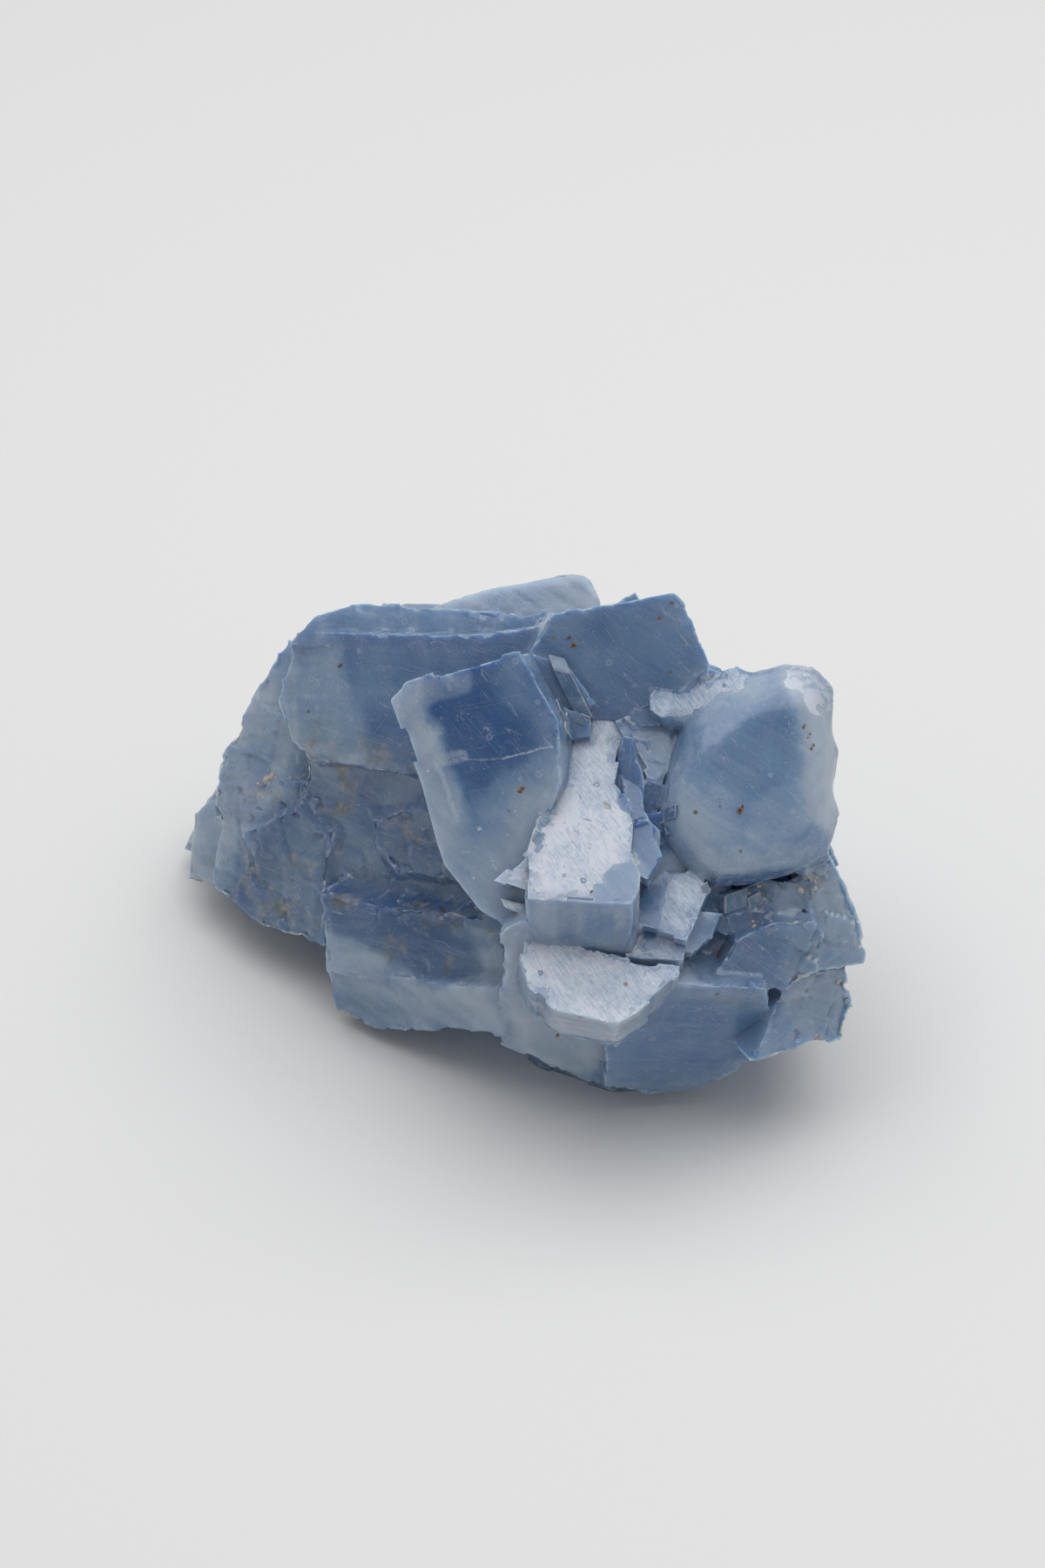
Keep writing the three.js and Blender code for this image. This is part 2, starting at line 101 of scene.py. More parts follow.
def smooth_noise(points, size, seed=0, octaves=2):
    """Soft noise from -1 to 1 at each point, with lumps of the given size."""
    total = np.zeros(len(points))
    weight, weights = 1.0, 0.0
    for octave in range(octaves):
        scaled = points / (size / 2 ** octave)
        cell = np.floor(scaled)
        part = scaled - cell
        part = part * part * (3 - 2 * part)
        value = np.zeros(len(points))
        for corner in range(8):
            step = np.array([corner & 1, corner >> 1 & 1, corner >> 2 & 1])
            share = np.prod(np.where(step, part, 1 - part), axis=1)
            x, y, z = (cell + step).T
            value += share * dice(x, y, z, seed=seed + octave)
        total += weight * (value * 2 - 1)
        weights += weight
        weight *= 0.5
    return total / weights


def fade(value, start, end):
    """0 at start, 1 at end, soft between them."""
    part = np.clip((value - start) / (end - start), 0, 1)
    return part * part * (3 - 2 * part)


# ---- The fine mesh of the cluster ------------------------------------------

def planar_faces(node):
    """The CAD node's flat faces: its corners in mm and, for each face, its corner numbers."""
    mesh = bmesh.new()
    mesh.from_mesh(node.data)
    bmesh.ops.remove_doubles(mesh, verts=mesh.verts[:], dist=4e-7)
    bmesh.ops.dissolve_limit(mesh, angle_limit=math.radians(0.5), use_dissolve_boundaries=False,
                             verts=mesh.verts[:], edges=mesh.edges[:])
    corners = np.array([v.co[:] for v in mesh.verts]) / MM
    faces = [[v.index for v in face.verts] for face in mesh.faces]
    normals = [np.array(face.normal[:]) for face in mesh.faces]
    mesh.free()
    return corners, faces, normals


def face_axes(normal):
    """Two axes in a face: one level across it, one up it."""
    across = np.cross([0.0, 0.0, 1.0], normal)
    if np.linalg.norm(across) < 0.05:
        across = np.array([1.0, 0.0, 0.0])
    across /= np.linalg.norm(across)
    return across, np.cross(normal, across)


def inner_points(outline, spacing, seed):
    """Evenly spread points inside a flat outline, clear of its edges."""
    low, high = outline.min(0), outline.max(0)
    if min(high - low) < spacing:
        return np.zeros((0, 2))
    # Rows of a triangular grid, every other one moved by half a step, then all of it jittered a little.
    rows = np.arange(low[1] + spacing * 0.5, high[1], spacing * 0.866)
    columns = np.arange(low[0], high[0] + spacing, spacing)
    x, y = np.meshgrid(columns, rows)
    x = x + (np.arange(len(rows)) % 2)[:, None] * spacing / 2
    points = np.stack([x.ravel(), y.ravel()], 1)
    number = np.arange(len(points))
    points += (np.stack([dice(number, seed=seed), dice(number, seed=seed + 1)], 1) - 0.5) * spacing * 0.25
    start, end = outline, np.roll(outline, -1, axis=0)
    inside = np.zeros(len(points), bool)
    near = np.full(len(points), np.inf)
    for (ax, ay), (bx, by) in zip(start, end):
        if ay != by:
            crosses = (points[:, 1] < ay) != (points[:, 1] < by)
            at = ax + (points[:, 1] - ay) * (bx - ax) / (by - ay)
            inside ^= crosses & (points[:, 0] < at)
        run = np.array([bx - ax, by - ay])
        length = max(run @ run, 1e-12)
        along = np.clip(((points - (ax, ay)) @ run) / length, 0, 1)
        gap = points - ((ax, ay) + along[:, None] * run)
        near = np.minimum(near, (gap * gap).sum(1))
    return points[inside & (near > (spacing * 0.55) ** 2)]


def filled_ring(ring, inner):
    """Triangles that fill a flat ring of points and use every inner point, as point numbers."""
    count = len(ring)
    sides = [(i, (i + 1) % count) for i in range(count)]
    _, _, found, origin, _, _ = delaunay_2d_cdt(ring + inner, sides, [], 1, 1e-7)
    triangles = [tuple(origin[i][0] for i in triangle) for triangle in found]
    seen = {}
    for a, b, c in triangles:
        for side in ((a, b), (b, c), (c, a)):
            seen[side] = seen.get(side, 0) + 1
    whole = all(seen.get(side, 0) == 1 for side in sides)
    whole = whole and all((b, a) in seen for a, b in seen if (a, b) not in sides)
    if whole and max(seen.values()) == 1:
        return triangles
    # A needle-thin face can lose a side above, so it is filled from its ring alone.
    filled = tessellate_polygon([[point.to_3d() for point in ring]])
    forward = sum((b - a) % count == 1 for t in filled for a, b in zip(t, t[1:] + t[:1]))
    return [t if forward > count / 2 else t[::-1] for t in filled]


def spacing_at(place, spacing):
    """Run between points near a place: finest on the bright stair, coarsest behind and below."""
    forward = place[2] * 0.57 - place[1] * 0.82      # mm towards the front and the top
    share = float(fade(forward, -10.0, -2.0))
    stair = float(fade(np.linalg.norm(place - STAIR_CENTRE), 15.0, 11.0))
    return spacing * (1.6 - 0.6 * share) * (1 - 0.25 * stair)


def fine_mesh(node, spacing):
    """The node's surface in small triangles: points in mm, triangles, and each triangle's flat face."""
    corners, faces, normals = planar_faces(node)
    points = list(corners)
    split = {}

    def edge_points(a, b):
        key = (min(a, b), max(a, b))
        if key not in split:
            first, last = corners[key[0]], corners[key[1]]
            step = spacing_at((first + last) / 2, spacing)
            count = max(1, round(float(np.linalg.norm(last - first)) / step))
            split[key] = list(range(len(points), len(points) + count - 1))
            points.extend(first + (last - first) * k / count for k in range(1, count))
        return split[key] if a < b else split[key][::-1]

    triangles, owners = [], []
    for number, (face, normal) in enumerate(zip(faces, normals)):
        across, up = face_axes(normal)
        loop = []
        for a, b in zip(face, face[1:] + face[:1]):
            loop += [a] + edge_points(a, b)
        ring = np.array([points[i] for i in loop])
        flat = np.stack([ring @ across, ring @ up], 1)
        inner = inner_points(flat, spacing_at(ring.mean(0), spacing), number)
        depth = float(np.mean(ring @ normal))
        first = len(points)
        points.extend(across * x + up * y + normal * depth for x, y in inner)
        index = loop + list(range(first, first + len(inner)))
        found = filled_ring([Vector(p) for p in flat], [Vector(p) for p in inner])
        triangles += [[index[i] for i in triangle] for triangle in found]
        owners += [number] * len(found)
    return np.array(points), np.array(triangles), np.array(owners), np.array(normals)


def edge_corners(points, triangles, owners, normals):
    """Corner pairs of the sharp edges that stand out, and of those that fold in."""
    sides = np.concatenate([triangles[:, [0, 1]], triangles[:, [1, 2]], triangles[:, [2, 0]]])
    of_triangle = np.tile(np.arange(len(triangles)), 3)
    sides.sort(axis=1)
    pairs = np.lexsort((sides[:, 1], sides[:, 0])).reshape(-1, 2)
    first, second = of_triangle[pairs[:, 0]], of_triangle[pairs[:, 1]]
    ends = sides[pairs[:, 0]]
    bend = (normals[owners[first]] * normals[owners[second]]).sum(1)
    sharp = bend < math.cos(math.radians(SHARP_ANGLE))
    middle = points[triangles[second]].mean(1) - points[ends[:, 0]]
    outward = (middle * normals[owners[first]]).sum(1) < 0
    return ends[sharp & outward], ends[sharp & ~outward]


def distance_to(points, targets, limit):
    """How far each point is from the nearest target, up to a limit."""
    tree = KDTree(len(targets))
    for number, target in enumerate(targets):
        tree.insert(target, number)
    tree.balance()
    return np.array([min(tree.find(point)[2], limit) for point in points])


def direction(azimuth, elevation):
    """The outward direction of a face, from its azimuth (0 is -Y) and elevation in degrees."""
    az, el = math.radians(azimuth), math.radians(elevation)
    return np.array([math.sin(az) * math.cos(el), -math.cos(az) * math.cos(el), math.sin(el)])


def smooth_patch(points, triangles, weight, rounds):
    """Round the surface where weight is over 0, by drawing each point towards its neighbours."""
    sides = np.concatenate([triangles[:, [0, 1]], triangles[:, [1, 2]], triangles[:, [2, 0]]])
    start = np.concatenate([sides[:, 0], sides[:, 1]])
    end = np.concatenate([sides[:, 1], sides[:, 0]])
    moving = weight[start] > 0.001
    start, end = start[moving], end[moving]
    chosen = np.unique(start)
    place = np.searchsorted(chosen, start)
    count = np.bincount(place)[:, None]
    pull = weight[chosen][:, None] * 0.6
    points = points.copy()
    for _ in range(rounds):
        total = np.stack([np.bincount(place, points[end, axis]) for axis in range(3)], 1)
        points[chosen] += (total / count - points[chosen]) * pull
    return points


# The traits of the mineral: how polished its faces are, which also sets where a reflection is painted
# white on them, how deep its blue is, how frosted, chipped and rounded it is, and how much cream and
# olive rock stains it. Depth and haze also carry painted shade and painted light in some parts.
USUAL = dict(polish=0.3, depth=0.5, haze=0.3, rough=0.3, soft=0.1, warm=0.0)
# The faces that have traits or growth lines of their own: azimuth and elevation in degrees.
WEST, RHOMB, TREAD, RIGHT = (-38, 22), (-20, 24), (-6, 62), (10, 36)
LONG_TOP, TOP_RHOMB, FOOT, FOOT_WEST = (-30, 48), (-8, 18), (8, -21), (-15, -18)
BORDER_WANDER = 1.3       # mm by which the borders between the parts wander
# How each part of the piece differs: from, to, radius, face or None, and its own traits, in mm.
REGIONS = [
    # The shaded left side and the far end: softly lumped, with cream and olive matrix. The deeper blue
    # of the left side is painted shade.
    ((-24, 8, 12), (-8, -6, 16), 15, None,
     dict(rough=0.45, soft=0.5, depth=0.85, haze=0.2, warm=0.7, polish=0.2)),
    ((-30, 12, 8), (-25, 12, 18), 9, None, dict(rough=0.45, soft=0.9, depth=0.3, haze=0.6, warm=0.2)),
    ((-16, -7, 9), (-2, -18, 12), 6, None, dict(rough=0.3, soft=0.5, depth=0.35, haze=0.5, warm=0.1)),
    ((-17, -4, 12.5), (-5, -12, 12.5), 4, None, dict(depth=0.9, haze=0.15, warm=0.6)),
    # The back: cleaved and cloudy.
    ((-14, 24, 14), (12, 20, 16), 16, None, dict(rough=0.5, soft=0.2, depth=0.4, haze=0.5)),
    ((-6, 22, 30), (8, 22, 30), 7, None, dict(rough=0.2, soft=0.8, depth=0.3, haze=0.6)),
    ((24, -2, 22), (16, 10, 22), 13, None, dict(rough=0.5, depth=0.45, haze=0.4)),
    # The long crystal: smooth, lined, paler at its left end.
    ((-16, 4, 34), (6, -4, 36), 15, WEST,
     dict(polish=0.45, rough=0.05, depth=0.74, haze=0.25, soft=0.25)),
    ((-22, 9, 33), (-17, 3, 25), 6, WEST, dict(polish=0.4, depth=0.4, haze=0.5, soft=0.8)),
    ((-16, 6, 36), (10, -2, 40), 12, LONG_TOP,
     dict(polish=0.4, rough=0.1, depth=0.6, haze=0.35, soft=0.3)),
    # The deep rhomb: darkest and clearest in its middle, paler below as painted light from the floor,
    # frosty along its left edge.
    ((-6, -14, 37), (2, -18, 30), 13, RHOMB,
     dict(polish=0.55, rough=0.0, depth=1.05, haze=0.12, soft=0.0)),
    ((1, -20, 25), (3, -20, 24), 8, RHOMB, dict(depth=0.45, haze=0.45)),
    ((-10, -10, 39), (-3, -20, 23), 3.4, RHOMB, dict(depth=0.42, haze=0.55)),
    ((-9, -10, 40), (2, -10, 40), 2.2, RHOMB, dict(depth=0.6, haze=0.5)),
    # The top rhomb and the right crystal, with a painted highlight on the crystal's top right corner.
    ((8, -9, 43), (16, -8, 42), 12, TOP_RHOMB, dict(polish=0.5, rough=0.0, depth=0.62, haze=0.2)),
    ((20.5, -17, 33), (22, -15, 36), 11.5, None, dict(polish=0.4, rough=0.05, depth=0.55, haze=0.42)),
    ((22, -18.5, 31), (25, -17.5, 32), 2.6, None, dict(depth=0.35, haze=0.6)),
    ((26.5, -10, 38), (27.8, -15, 31), 3.6, None, dict(depth=0.15, haze=0.7)),
    ((14.2, -14.4, 35.1), (13.8, -17.7, 30.9), 1.8, None, dict(depth=0.4, haze=0.5)),
    ((16.1, -19.9, 27.9), (24.3, -19.8, 28.3), 1.9, None, dict(depth=0.4, haze=0.45)),
    # Painted highlight: the right crystal's top right corner is painted white, as the treads are.
    ((25.4, -8.4, 40.2), (27.0, -9.8, 38.9), 2.4, None, dict(polish=1.0, depth=0.05, haze=1.0)),
    # The stair of bright treads, whose white is a painted reflection of the overhead softbox, held back
    # where a face turns away, and the paler risers under them.
    ((8, -22, 28), (8, -22, 28), 14, None, dict(rough=0.0, depth=0.35, haze=0.5)),
    # Painted light: the riser's rim under the lower tread is painted pale, as lit from the floor through
    # it.
    ((7, -29, 19), (12, -26, 20), 5, None, dict(rough=0.1, depth=0.1, haze=0.75)),
    ((8, -22, 26), (12, -12, 36), 16, TREAD,
     dict(polish=1.0, rough=0.0, depth=0.2, haze=0.5, soft=0.0)),
    ((11, -13, 33), (13, -16, 29), 3.2, (20, 30), dict(polish=0.3, depth=0.9, haze=0.1)),
    ((10.6, -13.4, 34), (11.4, -15, 33), 3.4, (-25, 30), dict(polish=0.3, depth=0.75, haze=0.15)),
    ((10.6, -12, 35.5), (13.6, -13, 34.5), 3.6, (15, 50),
     dict(polish=0.3, depth=0.65, haze=0.25, warm=0.4)),
    ((11.0, -15, 33), (12.4, -22.8, 28.7), 1.9, TREAD, dict(polish=0.25, depth=0.8, haze=0.15)),
    ((11.0, -18.8, 30.9), (12.1, -22.8, 28.6), 1.6, None, dict(polish=0.25, depth=0.9, haze=0.1)),
    ((10.0, -23.8, 29.3), (10.0, -27, 27.6), 2.0, TREAD, dict(polish=0.35, depth=0.45, haze=0.35)),
    ((8.3, -25.4, 28.4), (8.3, -27, 27.5), 1.4, TREAD, dict(polish=0.35, depth=0.45, haze=0.35)),
    ((14, -11, 38), (19.5, -9.5, 38.5), 4.5, TREAD, dict(polish=0.9, depth=0.55, haze=0.15)),
    ((6.6, -13, 35.5), (7.4, -16, 33.6), 3.2, TREAD, dict(depth=0.32)),
    ((13.5, -21, 25.5), (14.5, -24, 24), 4.2, TREAD, dict(depth=0.8)),
    # Painted shadow: the side tread's left part keeps no white, where the block beside it blocks the
    # reflection.
    ((12, -20.2, 25.8), (11.6, -24.3, 23.7), 1.9, TREAD, dict(polish=0.4, depth=0.7, haze=0.2)),
    # Painted light and glints: the lower tread's thin front rim is painted pale and bright.
    ((2.9, -26.4, 16), (11.9, -27.1, 16), 2.4, None, dict(polish=0.55, depth=0.0, haze=1.0, warm=0.0)),
    # The lower right: cloudy steps over the striated foot.
    ((22, -21, 20), (28, -18, 18), 8, None,
     dict(rough=0.4, depth=0.62, haze=0.25, polish=0.3, soft=0.2, warm=0.3)),
    ((19, -19, 24), (26, -18, 24), 3.5, None, dict(depth=0.85, haze=0.15, warm=0.4)),
    ((28, -18, 22), (28, -20, 12), 6, None, dict(rough=0.55, depth=0.3, haze=0.45)),
    ((12, -24, 14), (20, -22, 12), 8, FOOT,
     dict(rough=0.05, depth=0.6, haze=0.25, polish=0.4, soft=0.2)),
    # The front foot is pale partly from its cloudiness and partly as painted light from the floor.
    ((1, -24, 18), (4, -21, 8), 6, FOOT_WEST,
     dict(rough=0.15, depth=0.15, haze=0.75, polish=0.35, soft=0.2)),
]
# Which way the growth lines run in a face, in degrees from level. Other faces use LINES_USUAL.
GROWTH_LINES = [
    (WEST, 19), (RHOMB, -63), (TREAD, -50), (LONG_TOP, 12),
    (TOP_RHOMB, -25), (FOOT, -8), (FOOT_WEST, 88), (RIGHT, -35),
]
LINES_USUAL = -20


def traits_of(points, normals):
    """The traits of every point."""
    traits = {name: np.full(len(points), value) for name, value in USUAL.items()}
    # The borders between the parts wander, as cloudy zones and broken skins do.
    wander = np.stack([smooth_noise(points, 2.4, seed, 3) for seed in (601, 611, 621)], 1)
    points = points + wander * BORDER_WANDER
    for start, end, radius, face, values in REGIONS:
        start, run = np.array(start, float), np.subtract(end, start)
        along = np.clip((points - start) @ run / max(run @ run, 1e-9), 0, 1)
        gap = np.linalg.norm(points - start - along[:, None] * run, axis=1)
        share = fade(gap, radius, radius * 0.6)
        if face is not None:
            share = share * fade(normals @ direction(*face), 0.93, 0.99)
        for name, value in values.items():
            traits[name] += (value - traits[name]) * share
    return traits


def lined_axes(normal):
    """Two axes in a face: one along its growth lines, one across them."""
    across, up = face_axes(normal)
    angle = LINES_USUAL
    for face, lines in GROWTH_LINES:
        if normal @ direction(*face) > 0.97:
            angle = lines
    turn = math.radians(angle)
    along = across * math.cos(turn) + up * math.sin(turn)
    return along, np.cross(normal, along)


def chip_depth(points, across, up, run, seed):
    """Depth from 0 to 1 of the small rhombs missing from a face, on a leaning grid."""
    u = (points * across).sum(1) / run
    v = (points * up).sum(1) / run
    v = v + u * 0.2
    wander = smooth_noise(points, run * 1.7, seed, 1) * 0.25
    cell_u, cell_v = np.floor(u + wander), np.floor(v - wander)
    layer = np.floor((points * np.cross(across, up)).sum(1) / 3)
    return dice(cell_u, cell_v, layer, seed=seed)


def growth_steps(points, along, over, pitch, seed):
    """A sawtooth from 0 to 1 across a face: thin layers that each end in a small, wandering step."""
    u = (points * along).sum(1)
    v = (points * over).sum(1)
    flat = np.stack([u * 0.35, v, (points * np.cross(along, over)).sum(1) * 0.2], 1)
    lean = smooth_noise(flat, 5.0, seed, 2) * 3.2 + smooth_noise(points, 1.1, seed + 9, 1) * 0.22
    rank = (v + lean) / pitch
    return rank - np.floor(rank)


def right_crystal_round(points):
    """How far each point is part of the right crystal's swelling front, and its gap in mm to the rim."""
    out = direction(*RIGHT)
    across, up = face_axes(out)
    offset = points - RIGHT_MIDDLE
    half_width, half_height = RIGHT_HALF_SPAN
    u, v, height = offset @ across / half_width, offset @ up / half_height, offset @ out
    reach = (np.abs(u) ** RIGHT_SQUARENESS + np.abs(v) ** RIGHT_SQUARENESS) ** (1 / RIGHT_SQUARENESS)
    share = fade(reach, 1.06, 0.9) * fade(height, -0.8, -0.2)
    return share, np.clip((1 - reach) * half_width, 0, EDGE_REACH)


def carving_depth(points, along, over, rough, polish, ridge_gap, swelling, sizes):
    """How far each point is cut inwards, in mm. Swelling is 1 on the smooth front of the right crystal."""
    lumps = smooth_noise(points, 2.4, 5)
    coarse = chip_depth(points, along, over, 2.8, 11)
    middle = chip_depth(points, along, over, 1.2, 23)
    broad = fade(rough, 0.25, 0.6)
    # Sharp edges are worn back a little, and small rhombs have broken out of them.
    wear = sizes.edge_wear / MM * np.exp(-(ridge_gap / 0.3) ** 2) * (1 + lumps)
    edge_band = fade(ridge_gap + lumps * 0.5, 1.1, 0.2) * (1 - swelling)
    chips = edge_band * 0.3 * fade(middle, 0.58, 0.6) * fade(coarse, 0.3, 0.35)
    # Rough faces drop in flat terraces.
    terraces = broad * (0.34 * fade(coarse, 0.55, 0.57) + 0.12 * fade(middle, 0.6, 0.62))
    # Away from the edges faces swell softly, and polished ones hardly at all.
    flatness = (1 - 0.8 * fade(polish, 0.7, 1.0)) * (1 - 0.5 * swelling)
    swell = (0.14 + 0.5 * broad) * flatness * smooth_noise(points, 6.5, 71, 3) * fade(ridge_gap, 0.0, 2.0)
    # Thin growth layers end in small steps.
    layers = sizes.layer_step / MM * growth_steps(points, along, over, 2.6, 131)
    layers *= (0.5 + broad) * fade(ridge_gap, 0.1, 0.6) * (1 - 0.7 * swelling)
    return wear + (0.5 + rough) * chips + terraces + np.maximum(swell, -0.02) + layers + SKIN_DEPTH


def carved(points, triangles, owners, normals, sizes):
    """The surface with rounded, chipped and stepped edges, and the traits of each point."""
    axes = np.array([lined_axes(n) for n in normals])
    face_of = np.zeros(len(points), int)
    face_of[triangles.ravel()] = np.repeat(owners, 3)
    pairs = np.unique(np.stack([triangles.ravel(), np.repeat(owners, 3)], 1), axis=0)
    outward = np.stack([np.bincount(pairs[:, 0], normals[pairs[:, 1], k], len(points))
                        for k in range(3)], 1)
    outward /= np.maximum(np.linalg.norm(outward, axis=1), 1e-6)[:, None]
    traits = traits_of(points, normals[face_of])
    along, over = axes[face_of, 0], axes[face_of, 1]

    ridges, valleys = edge_corners(points, triangles, owners, normals)
    ridge_gap = distance_to(points, points[np.unique(ridges)], EDGE_REACH)
    valley_gap = distance_to(points, points[np.unique(valleys)], EDGE_REACH)

    # The right crystal is rounded all over, and soft places only at their edges.
    swelling, rim_gap = right_crystal_round(points)
    near_edge = np.exp(-(ridge_gap / 1.1) ** 2)
    shape = smooth_patch(points, triangles, swelling, RIGHT_ROUNDS)
    soft = traits["soft"] * near_edge * (1 - swelling)
    shape = smooth_patch(shape, triangles, soft, SOFT_ROUNDS)

    rough = traits["rough"] * (1 - swelling)
    inward = carving_depth(points, along, over, rough, traits["polish"], ridge_gap, swelling, sizes)
    inward *= 1 - 0.8 * np.exp(-(valley_gap / 0.5) ** 2)
    on_floor = points[:, 2] < FLOOR_BAND
    inward[on_floor] = 0
    shape = shape - outward * inward[:, None]
    shape[on_floor] = points[on_floor]
    traits["edge_gap"] = ridge_gap + swelling * (rim_gap - ridge_gap)
    # The clefts, where the blue is later darkened as painted shade.
    traits["cleft"] = np.exp(-(valley_gap / 0.9) ** 2) * (1 - swelling)
    traits["depth"], traits["haze"] = inner_tones(points, along, over, traits)
    return shape, traits, axes


def inner_tones(points, along, over, traits):
    """How deep the blue is, and how frosted, at each point: clouds, bands and veils inside the mineral."""
    u, v = (points * along).sum(1), (points * over).sum(1)
    height = (points * np.cross(along, over)).sum(1)
    bands = smooth_noise(np.stack([u / 12, v / 1.5, height / 5], 1), 1.0, 301, 2)
    streaks = smooth_noise(np.stack([u / 9, v / 0.9, height / 4], 1), 1.0, 311, 2)
    crossed = smooth_noise(np.stack([u / 1.1, v / 8, height / 4], 1), 1.0, 321, 2)
    clouds = smooth_noise(points, 8.0, 331, 2)
    wisps = smooth_noise(points, 2.6, 341, 2)
    deep = traits["depth"] + clouds * 0.28 + bands * 0.09 + wisps * 0.1
    haze = traits["haze"]
    veils = np.maximum(0.7 * fade(streaks, 0.1, 0.7), 0.6 * fade(crossed, 0.25, 0.75))
    milk = fade(smooth_noise(points, 4.5, 351, 2), -0.4, 0.5)
    # Near the edges the frost is also painted light: thin edges are made paler, as if light shines through
    # them.
    edge_frost_and_glow = fade(traits["edge_gap"] + streaks * 2.0 + wisps * 1.2, 2.8, 0.2)
    frost_and_light = haze * (0.25 + 0.45 * milk) + (0.12 + haze) * 0.5 * veils + (0.08 + 0.5 * haze) * edge_frost_and_glow
    return deep, frost_and_light


# ---- Small things on the surface ------------------------------------------
# Places are in mm. Each one is set on the nearest point of the fine surface.

# Clear growth rhombs: place, length, thickness, turn in the face in degrees.
CLEAR_RHOMBS = [
    ((4.6, -10.6, 39.6), 4.6, 1.3, -58), ((3.4, -12.2, 37.6), 1.5, 1.4, 12),
    ((5.2, -12.6, 37.0), 1.7, 1.5, 30), ((6.2, -11.6, 37.2), 0.9, 0.9, -20),
    ((19.4, -19.6, 23.4), 2.2, 1.6, 8), ((21.2, -19.4, 23.2), 1.3, 1.1, 25),
    ((14.2, -17.0, 31.0), 1.5, 1.1, 40), ((13.8, -17.4, 29.6), 1.1, 0.5, -10),
]
# Broken rims that carry rows of tiny rhombs: from, to, how many, usual size.
RHOMB_ROWS = [
    ((3.6, -17.3, 32.2), (1.9, -21.2, 30.0), 9, 0.6), ((16.5, -21.5, 26), (19, -19, 26), 5, 0.5),
    ((20, -20, 23), (27, -17.5, 24.5), 6, 0.6), ((-20, 28, 12), (-8, 30, 16), 6, 0.8),
    ((20, 16, 20), (26, 6, 22), 6, 0.8),
]
# Brown and gold grains: place and width.
GRAINS = [
    ((0.6, -17.4, 33.6), 0.55), ((19.7, -17, 31.4), 0.6), ((25.3, -12.4, 37.0), 0.4),
    ((25.7, -12.8, 36.3), 0.35), ((18.3, -20.8, 18.6), 0.75), ((4.2, -24.5, 11.6), 0.5),
    ((5.0, -8.6, 43.4), 0.4), ((5.4, -9.0, 42.9), 0.45), ((12.8, -8.4, 45.5), 0.35),
    ((26.5, -14.0, 36.0), 0.4), ((17.8, -15.8, 31.0), 0.3), ((7.0, -24.5, 27.5), 0.3),
    ((-8.0, -11.0, 19.0), 0.5), ((-18.0, 2.0, 33.0), 0.45), ((12.0, 18.0, 22.0), 0.6),
    ((-12.0, 26.0, 14.0), 0.6), ((26.0, 4.0, 24.0), 0.5), ((22.0, 14.0, 12.0), 0.6),
    ((-26.0, 10.0, 12.0), 0.5), ((8.0, -25.0, 12.0), 0.3),
]
# Patches of cream and pink rock crumbs: middle, spread, how many.
CRUMBS = [
    ((-7.5, -14, 24.5), 1.8, 26), ((-6.0, -16, 21.5), 1.4, 18), ((-23, 7, 16.5), 1.6, 12),
    ((21.5, -19.5, 22.5), 1.6, 12), ((25.5, -17, 24), 1.1, 10), ((28, -19.5, 15.5), 1.2, 8),
    ((8, 22, 18), 2.2, 16), ((24, 8, 14), 2.0, 14), ((-18, 22, 10), 2.0, 14),
]


def chances(number, seed, count):
    """A few numbers from 0 to 1, always the same for the same thing."""
    return [float(dice(np.array([number]), seed=seed + k)[0]) for k in range(count)]


def snapped(tree, place):
    """The nearest surface point to a place, and the surface's outward direction there."""
    found, normal, _, _ = tree.find_nearest(Vector(place) * MM)
    return found, normal


def copied(piece, place, outward, turn, size):
    """A copy of a small piece with its own mesh, standing on the surface."""
    copy = piece.copy()
    copy.data = piece.data.copy()
    bpy.context.collection.objects.link(copy)
    copy.matrix_world = (Matrix.Translation(place) @ outward.to_track_quat("Z", "Y").to_matrix().to_4x4()
                         @ Matrix.Rotation(turn, 4, "Z") @ Matrix.Diagonal((*size, 1)))
    return copy


def deselect():
    """Leave nothing selected, because an operator acts on all that is."""
    bpy.ops.object.select_all(action="DESELECT")


def joined(pieces, name, material):
    """The pieces as one object whose origin is the part's, with one material."""
    deselect()
    for piece in pieces:
        piece.select_set(True)
    bpy.context.view_layer.objects.active = pieces[0]
    bpy.ops.object.join()
    bpy.ops.object.transform_apply(location=True, rotation=True, scale=True)
    bpy.ops.object.mode_set(mode="EDIT")
    bpy.ops.mesh.select_all(action="SELECT")
    bpy.ops.mesh.normals_make_consistent(inside=False)
    bpy.ops.object.mode_set(mode="OBJECT")
    whole = bpy.context.active_object
    whole.name = name
    whole.data.materials.clear()
    whole.data.materials.append(material)
    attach(whole, "root")
    return whole


def rhomb_seed():
    """One cleavage rhomb, 1 m wide and lying flat: a cube leaned over with its edges just broken."""
    deselect()
    bpy.ops.mesh.primitive_cube_add(size=1, location=(0, 0, 0))
    seed = bpy.context.active_object
    bpy.ops.object.mode_set(mode="EDIT")
    bpy.ops.mesh.select_all(action="SELECT")
    bpy.ops.mesh.bevel(offset=0.06, segments=1)
    bpy.ops.object.mode_set(mode="OBJECT")
    # The narrow bevel faces are marked as the rim, which the clear calcite paints white as glints.
    rim = seed.data.attributes.new("rim", "FLOAT", "FACE")
    rim.data.foreach_set("value", [float(face.area < 0.3) for face in seed.data.polygons])
    for corner in seed.data.vertices:
        corner.co.x += 0.21 * corner.co.y + 0.25 * corner.co.z
        corner.co.y += 0.18 * corner.co.z
    return seed


